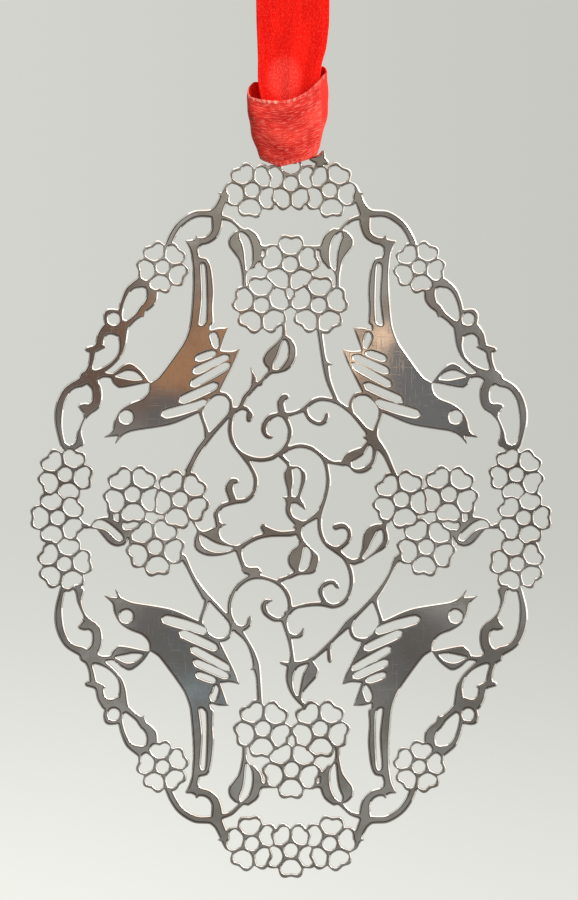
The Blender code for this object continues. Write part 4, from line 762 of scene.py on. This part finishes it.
class MetalField:
    # depth of metal in mm over a grid of (x, z): above nought in the metal, below it in the openings
    def __init__(self, loops):
        points = np.concatenate(loops)
        self.pitch = plateSet["pitch"]
        self.corner = points.min(axis=0) - plateSet["margin"]
        size = points.max(axis=0) + plateSet["margin"] - self.corner
        self.shape = tuple(np.ceil(size / self.pitch).astype(int))[::-1]
        stops = np.concatenate([np.roll(loop, -1, axis=0) for loop in loops])
        near = self.near(points, stops)
        self.depth = np.where(self.inside(points, stops), near, -near).astype(np.float32)

    def near(self, starts, stops):
        # distance of each grid point to the nearest edge, up to the reach
        a, b = (starts - self.corner) / self.pitch, (stops - self.corner) / self.pitch
        base = np.round((a + b) / 2).astype(int)
        along = b - a
        square = np.maximum((along ** 2).sum(axis=1), 1e-9)
        limit = plateSet["reach"] / self.pitch
        half = int(math.ceil(limit + np.sqrt(square.max()) / 2))
        reach = np.arange(-half, half + 1)
        dx, dz = [v.reshape(-1) for v in np.meshgrid(reach, reach)]
        found = np.full(self.shape, limit, dtype=np.float64)
        for start in range(0, len(a), plateSet["batch"]):
            part = slice(start, start + plateSet["batch"])
            cx, cz = base[part, :1] + dx, base[part, 1:] + dz
            px, pz = cx - a[part, :1], cz - a[part, 1:]
            t = np.clip((px * along[part, :1] + pz * along[part, 1:]) / square[part, None], 0, 1)
            away = np.hypot(px - t * along[part, :1], pz - t * along[part, 1:])
            ok = (away < limit) & (cx >= 0) & (cz >= 0) & (cx < self.shape[1]) & (cz < self.shape[0])
            np.minimum.at(found, (cz[ok], cx[ok]), away[ok])
        return found * self.pitch

    def inside(self, starts, stops):
        # even-odd rule along each grid row
        a, b = (starts - self.corner) / self.pitch, (stops - self.corner) / self.pitch
        low, high = np.minimum(a[:, 1], b[:, 1]), np.maximum(a[:, 1], b[:, 1])
        first, last = np.ceil(low).astype(int), np.ceil(high).astype(int) - 1
        flips = np.zeros(self.shape, dtype=np.int32)
        rise = np.where(np.abs(b[:, 1] - a[:, 1]) < 1e-12, 1, b[:, 1] - a[:, 1])
        for k in range(int((last - first).max()) + 1):
            row = first + k
            ok = row <= last
            x = a[:, 0] + (row - a[:, 1]) / rise * (b[:, 0] - a[:, 0])
            np.add.at(flips, (row[ok], np.ceil(x[ok]).astype(int)), 1)
        return np.cumsum(flips, axis=1) % 2 == 1

    def window(self, centre, radius):
        # the part of the grid round a spot, and its points as x and z from there
        low = np.maximum(((centre - radius - self.corner) / self.pitch).astype(int), 0)
        high = ((centre + radius - self.corner) / self.pitch).astype(int) + 1
        part = (slice(low[1], min(high[1], self.shape[0])), slice(low[0], min(high[0], self.shape[1])))
        x = self.corner[0] + np.arange(part[1].start, part[1].stop) * self.pitch - centre[0]
        z = self.corner[1] + np.arange(part[0].start, part[0].stop) * self.pitch - centre[1]
        return part, x[None, :], z[:, None]

    def at(self, grid, points):
        # bilinear reading of a grid at points in mm
        spot = (points - self.corner) / self.pitch
        low = np.clip(spot.astype(int), 0, np.array(self.shape[::-1]) - 2)
        f = spot - low
        x, z = low[:, 0], low[:, 1]
        return ((grid[z, x] * (1 - f[:, 0]) + grid[z, x + 1] * f[:, 0]) * (1 - f[:, 1])
                + (grid[z + 1, x] * (1 - f[:, 0]) + grid[z + 1, x + 1] * f[:, 0]) * f[:, 1])

    def outlines(self):
        # marching squares: where the depth passes nought, metal on the left, spots by straight interpolation
        depth = self.depth
        metal = depth > 0
        flat = metal[:, :-1] != metal[:, 1:]
        steep = metal[:-1] != metal[1:]
        flatId = np.cumsum(flat).reshape(flat.shape) - 1
        steepId = np.cumsum(steep).reshape(steep.shape) - 1 + int(flat.sum())
        r, c = np.nonzero(flat)
        f = depth[r, c] / (depth[r, c] - depth[r, c + 1])
        spots = [np.stack([c + f, r], axis=1)]
        r, c = np.nonzero(steep)
        f = depth[r, c] / (depth[r, c] - depth[r + 1, c])
        spots.append(np.stack([c, r + f], axis=1))
        spots = np.concatenate(spots) * self.pitch + self.corner
        case = metal[:-1, :-1] + 2 * metal[:-1, 1:] + 4 * metal[1:, 1:] + 8 * metal[1:, :-1]
        walls = dict(b=flatId[:-1], t=flatId[1:], l=steepId[:, :-1], r=steepId[:, 1:])
        # from side to side of a cell, by which of its four corners are metal
        moves = {1: "bl", 2: "rb", 3: "rl", 4: "tr", 5: "bltr", 6: "tb", 7: "tl",
                 8: "lt", 9: "bt", 10: "rblt", 11: "rt", 12: "lr", 13: "br", 14: "lb"}
        edges = []
        for number, way in moves.items():
            cell = case == number
            for k in range(0, len(way), 2):
                edges.append(np.stack([walls[way[k]][cell], walls[way[k + 1]][cell]], axis=1))
        edges = np.concatenate(edges)
        return [spots[loop] for loop in inOrder(edges[:, 0], edges[:, 1])]


def allBlossoms():
    # every blossom of the sheet, group by group with its copies
    return [((sx * x, sz * z), sx * sz * turn + added, size)
            for group, copies in blossomSet["copies"].items()
            for (x, z), turn, size in blossomSet[group] for sx, sz, added in copies]


def petalDepth(blossom, x, z):
    # how far inside a blossom's outline points lie: the petal's radius by angle from its middle, less theirs;
    # and the number of their petal
    (cx, cz), turn, size = blossom
    wide = 360 / blossomSet["petals"]
    angle = np.degrees(np.arctan2(z - cz, x - cx)) - turn
    off = np.abs((angle + wide / 2) % wide - wide / 2)
    rim = throughStations(blossomSet["petal"], blossomSet["rimPoints"])
    number = np.floor((angle + wide / 2) / wide).astype(int) % blossomSet["petals"]
    return np.interp(off, rim[:, 0], rim[:, 1]) * size - np.hypot(x - cx, z - cz), number


def addBlossoms(field):
    # each blossom: five notched petals; heart-shaped holes, radius by angle about a spot on the petal's
    # middle; a round eye. Neighbours share a wall where both are equally deep
    blossoms = allBlossoms()
    hole = throughStations(blossomSet["hole"], blossomSet["holePoints"])
    kept = blossomSet["kept"]
    raised = []
    for blossom in blossoms:
        (cx, cz), turn, size = blossom
        part, x, z = field.window(np.array([cx, cz + plateSet["middle"]]), blossomSet["around"] * size)
        fill, number = petalDepth(blossom, x + cx, z + cz)
        hanging = cz > blossomSet["hanging"] and cx == 0
        if hanging:
            fill = np.where(number == kept, -1, fill)
        field.depth[part] = np.maximum(field.depth[part], fill)
        raised.append((part, x, z, fill, hanging))
    for count, blossom in enumerate(blossoms):
        (cx, cz), turn, size = blossom
        part, x, z, fill, hanging = raised[count]
        cut = blossomSet["eye"] * size - np.hypot(x, z)
        for k in range(blossomSet["petals"]):
            if hanging and k == kept:
                continue
            way = math.radians(turn + 360 / blossomSet["petals"] * k)
            out = x * math.cos(way) + z * math.sin(way) - blossomSet["holeAt"] * size
            side = z * math.cos(way) - x * math.sin(way)
            angle = np.degrees(np.abs(np.arctan2(side, out)))
            low, more = blossomSet["notch"]
            notch = low + more * abs(math.sin(5.1 * count + 2.3 * k))       # no two petals are cut alike
            radius = np.interp(angle, hole[:, 0], hole[:, 1])
            radius = radius + np.interp(angle, [0, blossomSet["notchWide"]],
                                        [blossomSet["notchDeep"] * (1 - notch), 0])
            cut = np.maximum(cut, radius * size - np.hypot(out, side))
        for other in blossoms:
            apart = math.dist(other[0], (cx, cz))
            if 0 < apart < blossomSet["reach"] * (size + other[2]) + blossomSet["slack"]:
                beside, _ = petalDepth(other, x + cx, z + cz)
                cut = np.minimum(cut, (fill - beside) / 2 - blossomSet["shared"] / 2)
        field.depth[part] = np.minimum(field.depth[part], -cut)
    print(len(blossoms), "blossoms cut")


def lineDistance(x, z, line):
    # distance of grid points to a chain of straight bits, less half the width there
    found = np.full((len(z), x.shape[1]), np.inf)
    for (ax, az, aw), (bx, bz, bw) in zip(line[:-1], line[1:]):
        ex, ez = bx - ax, bz - az
        t = np.clip(((x - ax) * ex + (z - az) * ez) / max(ex * ex + ez * ez, 1e-9), 0, 1)
        away = np.hypot(x - ax - t * ex, z - az - t * ez) - (aw + (bw - aw) * t) / 2
        found = np.minimum(found, away)
    return found


def overGrid(field, line):
    # the part of the grid that a line needs, and its points as x and z
    low, high = line[:, :2].min(axis=0), line[:, :2].max(axis=0)
    middle = (low + high) / 2
    part, x, z = field.window(middle, float((high - low).max()) / 2 + plateSet["around"])
    return part, x + middle[0], z + middle[1]


def cutOutline(field, outline, flip):
    # a closed smooth outline cut away by its signed distance; inside it by the even-odd rule
    count = plateSet["perSpan"]
    wrapped = np.concatenate([outline[-2:], outline, outline[:3]])
    loop = throughStations(wrapped, count * (len(wrapped) - 1) + 1)
    loop = loop[2 * count:-2 * count] * flip + [0, plateSet["middle"]]
    line = np.concatenate([loop, np.zeros((len(loop), 1))], axis=1)
    part, x, z = overGrid(field, line)
    away = lineDistance(x, z, line)
    within = np.zeros(away.shape, dtype=bool)
    for (ax, az), (bx, bz) in zip(loop[:-1], loop[1:]):
        if az != bz:
            within ^= ((az > z) != (bz > z)) & (x < (bx - ax) * (z - az) / (bz - az) + ax)
    field.depth[part] = np.minimum(field.depth[part], np.where(within, -away, away))


def addStrokes(field):
    # each stroke a chain of round cones: distance to the line less half its width there, joined with a small
    # fillet; then the openings are cut
    turn = np.linspace(0, 2 * math.pi, borderRing["points"])
    (cx, cz), radius, width = borderRing["at"], borderRing["radius"], borderRing["width"]
    ring = [(cx + radius * math.cos(a), cz + radius * math.sin(a), width) for a in turn]
    quarters = [(1, 1), (-1, 1), (1, -1), (-1, -1)]
    lines = [(stroke, flip) for flip in quarters for stroke in list(borderStrokes.values()) + [ring]]
    lines += [(stroke, quarters[0]) for stroke in hornStrokes + stemStrokes]
    cuts = [(outline, flip) for flip in quarters for outline in borderOpenings.values()]
    for leaf in vineLeaves.values():
        for flip in quarters[:2 if "both" in leaf else 1]:
            lines += [(stroke, flip) for stroke in leaf["strokes"]]
            if "clear" in leaf:
                cutOutline(field, leaf["clear"], flip)
            if "slot" in leaf:
                cuts.append((leaf["slot"], flip))
    for stroke, flip in lines:
        line = throughStations(stroke, plateSet["perSpan"] * len(stroke))
        line = line * [*flip, 1] + [0, plateSet["middle"], 0]
        part, x, z = overGrid(field, line)
        depth, was = -lineDistance(x, z, line), field.depth[part]
        share = np.clip(0.5 + (depth - was) / 2 / plateSet["fillet"], 0, 1)
        field.depth[part] = was + (depth - was) * share + plateSet["fillet"] * share * (1 - share)
    for sx, sz in quarters:
        part, x, z = field.window(np.array([sx * cx, sz * cz + plateSet["middle"]]), borderRing["around"])
        field.depth[part] = np.minimum(field.depth[part], np.hypot(x, z) - (radius - width / 2))
    for outline, flip in cuts:
        cutOutline(field, outline, flip)
    print(len(lines), "strokes and", len(cuts), "openings drawn")


def evenOutline(points):
    # slightly smoothed, then resampled: points stand closer where the outline turns
    for _ in range(plateSet["rounds"]):
        points = (np.roll(points, 1, axis=0) + 2 * points + np.roll(points, -1, axis=0)) / 4
    step = np.linalg.norm(sides(points), axis=1)
    way = np.roll(points, -2, axis=0) - np.roll(points, 2, axis=0)
    later = np.roll(way, -1, axis=0)
    cross = np.abs(way[:, 0] * later[:, 1] - way[:, 1] * later[:, 0])
    turn = np.degrees(np.arctan2(cross, (way * later).sum(axis=1)))
    weight = step / plateSet["even"] + turn / plateSet["curl"]
    measure = np.concatenate([[0], np.cumsum(weight)])
    count = max(plateSet["fewest"], int(round(measure[-1])))
    at = np.arange(count) / count * measure[-1]
    closed = np.concatenate([points, points[:1]])
    return np.stack([np.interp(at, measure, closed[:, 0]), np.interp(at, measure, closed[:, 1])], axis=1)


def outwards(points):
    # unit mitre to the right of the path, which is away from the metal
    ahead = sides(points)
    ahead /= np.maximum(np.linalg.norm(ahead, axis=1, keepdims=True), 1e-9)
    right = np.stack([ahead[:, 1], -ahead[:, 0]], axis=1)
    before = np.roll(right, 1, axis=0)
    return (right + before) / np.maximum(1 + (right * before).sum(axis=1, keepdims=True), plateSet["mitre"])


def fillFace(outline, own, ahead):
    # triangles between the outlines: a Delaunay net over all of them, of which only the metal is kept.
    # The metal lies left of each rim edge, and triangles with no rim edge take their neighbour's side.
    # Also gives the spots where outlines cross or meet
    net = delaunay_2d_cdt([Vector(p) for p in outline], np.stack([own, ahead], axis=1).tolist(), [], 0, 1e-7)
    origin = np.array([ids[0] if len(ids) else -1 for ids in net[3]])
    crossed = np.array([tuple(net[0][i]) for i in np.nonzero(origin < 0)[0]]).reshape(-1, 2)
    joined = np.setdiff1d(own, origin)
    crossed = np.concatenate([crossed, outline[joined]])
    tri = origin[np.array(net[2])]
    tri = tri[(tri >= 0).all(axis=1)]
    a, b, c = outline[tri[:, 0]], outline[tri[:, 1]], outline[tri[:, 2]]
    clockwise = (b - a)[:, 0] * (c - a)[:, 1] - (b - a)[:, 1] * (c - a)[:, 0] < 0
    tri[clockwise] = tri[clockwise][:, ::-1]
    many = len(outline)
    start, stop = tri, np.roll(tri, -1, axis=1)
    code, reverse = start * many + stop, stop * many + start
    metal, hole = np.isin(code, own * many + ahead), np.isin(code, ahead * many + own)
    side = metal.any(axis=1).astype(int) - hole.any(axis=1).astype(int)
    flat = code.reshape(-1)
    order = np.argsort(flat)
    found = np.minimum(np.searchsorted(flat[order], reverse.reshape(-1)), len(flat) - 1)
    match = order[found]
    beside = np.where(flat[match] == reverse.reshape(-1), match // 3, -1).reshape(-1, 3)
    for _ in range(plateSet["spread"]):
        unknown = side == 0
        if not unknown.any():
            break
        near = np.where(beside >= 0, side[beside], 0).sum(axis=1)
        side = np.where(unknown, np.sign(near), side)
    return tri[side > 0], crossed


def makePlate():
    # the pierced sheet: the solid's outlines, smoothed, with the strokes, openings and leaves drawn over them
    # and the blossoms cut finer; a rounded edge is carried round each outline, and two flat faces lie between
    field = MetalField([smoothRim(loop) for loop in rimLoops(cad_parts["pierced_plate"])])
    addStrokes(field)
    addBlossoms(field)
    field.depth += plateSet["grow"]
    loops = [evenOutline(loop) for loop in field.outlines()]
    loops = [loop for loop in loops if np.linalg.norm(sides(loop), axis=1).sum() > plateSet["least"]]
    sizes = np.array([len(loop) for loop in loops])
    points = np.concatenate(loops)
    stops = np.concatenate([np.roll(loop, -1, axis=0) for loop in loops])
    away = np.concatenate([outwards(loop) for loop in loops])
    near = field.near(points, stops)
    # half the metal's width: the deepest spot straight in from the rim
    width = np.full(len(points), plateSet["leastWidth"])
    for reach in np.arange(*plateSet["probe"]):
        width = np.maximum(width, np.minimum(field.at(near, points - away * reach), reach))
    first = np.repeat(np.cumsum(sizes) - sizes, sizes)
    place = np.arange(len(points)) - first
    total = np.repeat(sizes, sizes)
    ahead = first + (place + 1) % total
    behind = first + (place - 1) % total
    for _ in range(plateSet["widthRounds"]):
        width = np.minimum(width, (width + width[ahead] + width[behind]) / 3)
    rings = plateSet["rings"]
    ease = np.clip(plateSet["ease"] * width / -rings[0][0], plateSet["thinnest"], 1)[:, None]
    own = np.arange(len(points))
    close, more = plateSet["mendReach"]
    for tries in range(plateSet["mends"]):  # where the face's outline would cross itself, it keeps to the rim
        cap, crossed = fillFace(points + away * rings[0][0] * ease, own, ahead)
        if not len(crossed):
            break
        apart = np.abs(points[:, None] - crossed[None]).max(axis=2).min(axis=1)
        ease = np.where(apart[:, None] < close + more * tries, ease * plateSet["mendBy"], ease)
    print("face filled,", len(crossed), "crossings left after", tries, "mends")
    layers = []
    for out, y in rings:
        flat = points + away * (out * ease if out < 0 else out)
        layers.append(np.stack([flat[:, 0], np.full(len(flat), y), flat[:, 1]], axis=1))
    walls = []
    for k in range(len(rings) - 1):
        low, high = k * len(points), (k + 1) * len(points)
        walls.append(np.stack([ahead + low, own + low, own + high, ahead + high], axis=1))
    rear = cap[:, ::-1] + (len(rings) - 1) * len(points)
    walls = np.concatenate(walls)
    flat = np.concatenate([np.ones(2 * len(cap), dtype=bool), np.zeros(len(walls), dtype=bool)])
    piece = putMesh("piercedPlate", np.concatenate(layers) * mm, [cap, rear, walls], [silver], flat=flat)
    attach(piece, "plate")
    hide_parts("pierced_plate")
    print("plate", len(loops), "outlines", len(points), "points", 2 * len(cap) + 2 * len(walls), "triangles")


makeTails()
makeHitch()
makePlate()


# floor, reflection cards and light, in metres; pairs are where a tone starts and is full

studio = dict(
    floor=-0.32, half=1, fade=(0.3, 0.95), paper=(0.62, 0.61, 0.58), shade=0.98, grain=30.0,
    # cards: clouds of dark and dusk in the middle, night round them, dawn far out
    clouds=(16.0, 3.0), clouded=(0.38, 0.66), dark=(0.115, 0.115, 0.117), dusk=(0.40, 0.385, 0.36),
    night=(0.085, 0.065, 0.055), nightFrom=(0.12, 0.17), dawn=(0.30, 0.293, 0.28), dawnFrom=(0.35, 0.5),
    cards=dict(cardFront=[(-0.5, 0, -0.25), (0.27, 0, 0.27)], cardLeft=[(-0.5, 0, -0.25), (-0.5, 0.9, 0.16)],
               cardUnder=[(-0.5, 0, -0.23), (0.3, 0.9, -0.23)]),
    # tent: radius, and its bend in degrees and depth, each with a count of points
    tent=(1.0, 0.91, 0.84, 1), tentLight=2.0, drum=0.46, bend=(-8, 118, 25), depth=(-0.42, 0.22, 5),
    # sky, and lamps with their place, size and watts
    high=(0.61, 0.615, 0.575), low=(0.86, 0.865, 0.81), horizon=(-0.01, -0.15), middle=(-0.1, 0.1),
    left=(1.07, 1.07, 1.07), right=(0.94, 0.94, 0.94),
    softLeft=(0.12, 0.12, 0.12), softRight=(0.84, 0.83, 0.81), softFrom=(-0.6, 0.9),
    lamps=dict(key=((0.40, -0.38, 0.30), 0.34, 3.2), top=((0.05, -0.08, 0.45), 0.4, 0.6),
               fill=((-0.40, -0.50, 0.12), 0.3, 0.08)), aim=(0, 0, -0.06))

# painted reflections, what the metal mirrors at given places of the sheet: place on the sheet from its
# middle, inner and outer radius, colour, strength
reflected = [
    ((0, 46), 8, 17, (0.36, 0.335, 0.28), 0.9), ((0, -48), 18, 54, (0.27, 0.27, 0.255), 0.9),
    ((-24, 23), 6, 15, (0.16, 0.105, 0.082), 1.0), ((-14, 23), 5, 11, (0.40, 0.215, 0.12), 1.0),
    ((-17, 14.5), 1.5, 4.5, (0.125, 0.12, 0.122), 0.9), ((11.6, 21.5), 4.5, 7.5, (1.0, 0.71, 0.50), 1.0),
    ((20.2, 18.5), 6.8, 7.8, (0.165, 0.168, 0.172), 1.0), ((-13, -24), 3, 10, (0.215, 0.26, 0.28), 0.9),
    ((0, 4), 8, 20, (0.20, 0.165, 0.135), 0.8), ((-17, -16), 3, 9, (0.115, 0.118, 0.12), 0.9),
    ((16, -19), 4, 11, (0.125, 0.122, 0.118), 0.9)]


def plane(name, low, high, mat):
    # a rectangle between two opposite corners that share one coordinate
    low, high = np.array(low, dtype=float), np.array(high, dtype=float)
    first = np.arange(3) == np.nonzero(low != high)[0][0]
    corners = [low, np.where(first, high, low), high, np.where(first, low, high)]
    piece = putMesh(name, np.array(corners), [np.array([[0, 1, 2, 3]])], [mat])
    return piece


def unseen(piece, *rays):
    for ray in rays:
        setattr(piece, "visible_" + ray, False)


def makeFloor():
    # pale paper that fades into the backdrop
    mat, wire, feed = newMaterial("paleFloor", {"Roughness": 0.85})
    place = wire.node("ShaderNodeTexCoord", out=3)
    paper, level, half = studio["paper"], studio["floor"], studio["half"]
    near, far = studio["fade"]
    shaded = tuple(studio["shade"] * c for c in paper)
    feed(Base_Color=wire.mix(wire.noise(place, studio["grain"]), shaded, paper),
         Alpha=wire.span(wire.apart(place, (0, 0, level)), far, near))
    plane("floor", (-half, -half, level), (half, half, level), mat)


def makeCards():
    # cards that only the metal's reflections see, standing for the room behind the camera: painted
    # reflections, dark with a few warm places, each spot put where a given place of the sheet mirrors it.
    # Their corners are given from the camera's distance and height
    mat, wire, glow = glowMaterial("darkCard")
    place = wire.node("ShaderNodeTexCoord", out=3)
    eye = np.array([cameraSet["x"], -cameraSet["away"], cameraSet["z"]])
    clouds = wire.span(wire.noise(place, *studio["clouds"]), *studio["clouded"])
    tone = wire.mix(clouds, studio["dark"], studio["dusk"])
    for (x, z), inner, outer, colour, show in reflected:
        # the sheet mirrors the card: a spot seen at (x, z) of it lies twice as far from the camera
        spot = (2 * x * mm - eye[0], eye[1], 2 * (z + plateSet["middle"]) * mm - eye[2])
        inside = wire.span(wire.apart(place, spot), 2 * outer * mm, 2 * inner * mm)
        tone = wire.mix(inside * show, tone, colour)
    away = wire.apart(place, eye)
    for name in ("night", "dawn"):
        tone = wire.mix(wire.span(away, *studio[name + "From"]), tone, studio[name])
    glow(tone, 1.0)
    for name, corners in studio["cards"].items():
        low, high = [np.array(corner) + [0, eye[1], eye[2]] for corner in corners]
        unseen(plane(name, low, high, mat), "camera", "diffuse", "shadow")


def makeTent():
    # a bright tent over the top and right: part of a drum about Y, hidden from the camera
    bend, deep = np.radians(np.linspace(*studio["bend"])), np.linspace(*studio["depth"])
    turn, depth = np.meshgrid(bend, deep, indexing="ij")
    across, up = studio["drum"] * np.cos(turn), studio["drum"] * np.sin(turn)
    points = np.stack([across, depth, cameraSet["z"] + up], axis=-1).reshape(-1, 3)
    mat, _, glow = glowMaterial("tentCloth")
    glow(studio["tent"], studio["tentLight"])
    _, faces = gridFaces(*turn.shape)
    tent = putMesh("tent", points, [faces[:, ::-1]], [mat])
    unseen(tent, "camera", "shadow")


def makeSky():
    # what the eye and the metal see is the backdrop; the soft light is stronger from the right
    world = bpy.data.worlds.new("studio")
    scene.world = world
    world.use_nodes = True
    sky = Wire(world.node_tree)
    way = sky.node("ShaderNodeTexCoord", out=0)
    aside = sky.node("ShaderNodeSeparateXYZ", None, {"Vector": way})
    shade = sky.mix(sky.span(aside.beside(2), *studio["horizon"]), studio["high"], studio["low"])
    left, right = [sky.mix(1.0, shade, studio[side], "MULTIPLY") for side in ("left", "right")]
    shade = sky.mix(sky.span(aside, *studio["middle"]), left, right)
    seen = ray = sky.node("ShaderNodeLightPath")        # its first output is Is Camera Ray
    for kind in ("Is Glossy Ray", "Is Transmission Ray"):
        seen = sky.math("MAXIMUM", seen, ray.beside(kind))
    soft = sky.mix(sky.span(aside, *studio["softFrom"]), studio["softLeft"], studio["softRight"])
    colour = world.node_tree.nodes["Background"].inputs["Color"]
    sky.tree.links.new(sky.mix(seen, soft, shade).socket, colour)


def makeLamps():
    for name, (at, size, watts) in studio["lamps"].items():
        lamp = bpy.data.lights.new(name, "AREA")
        lamp.size = size
        lamp.energy = watts
        holder = bpy.data.objects.new(name, lamp)
        scene.collection.objects.link(holder)
        holder.location = at
        aim = Vector(studio["aim"]) - Vector(at)
        holder.rotation_euler = aim.to_track_quat("-Z", "Y").to_euler()


makeFloor()
makeCards()
makeTent()
makeSky()
makeLamps()
print("studio set")
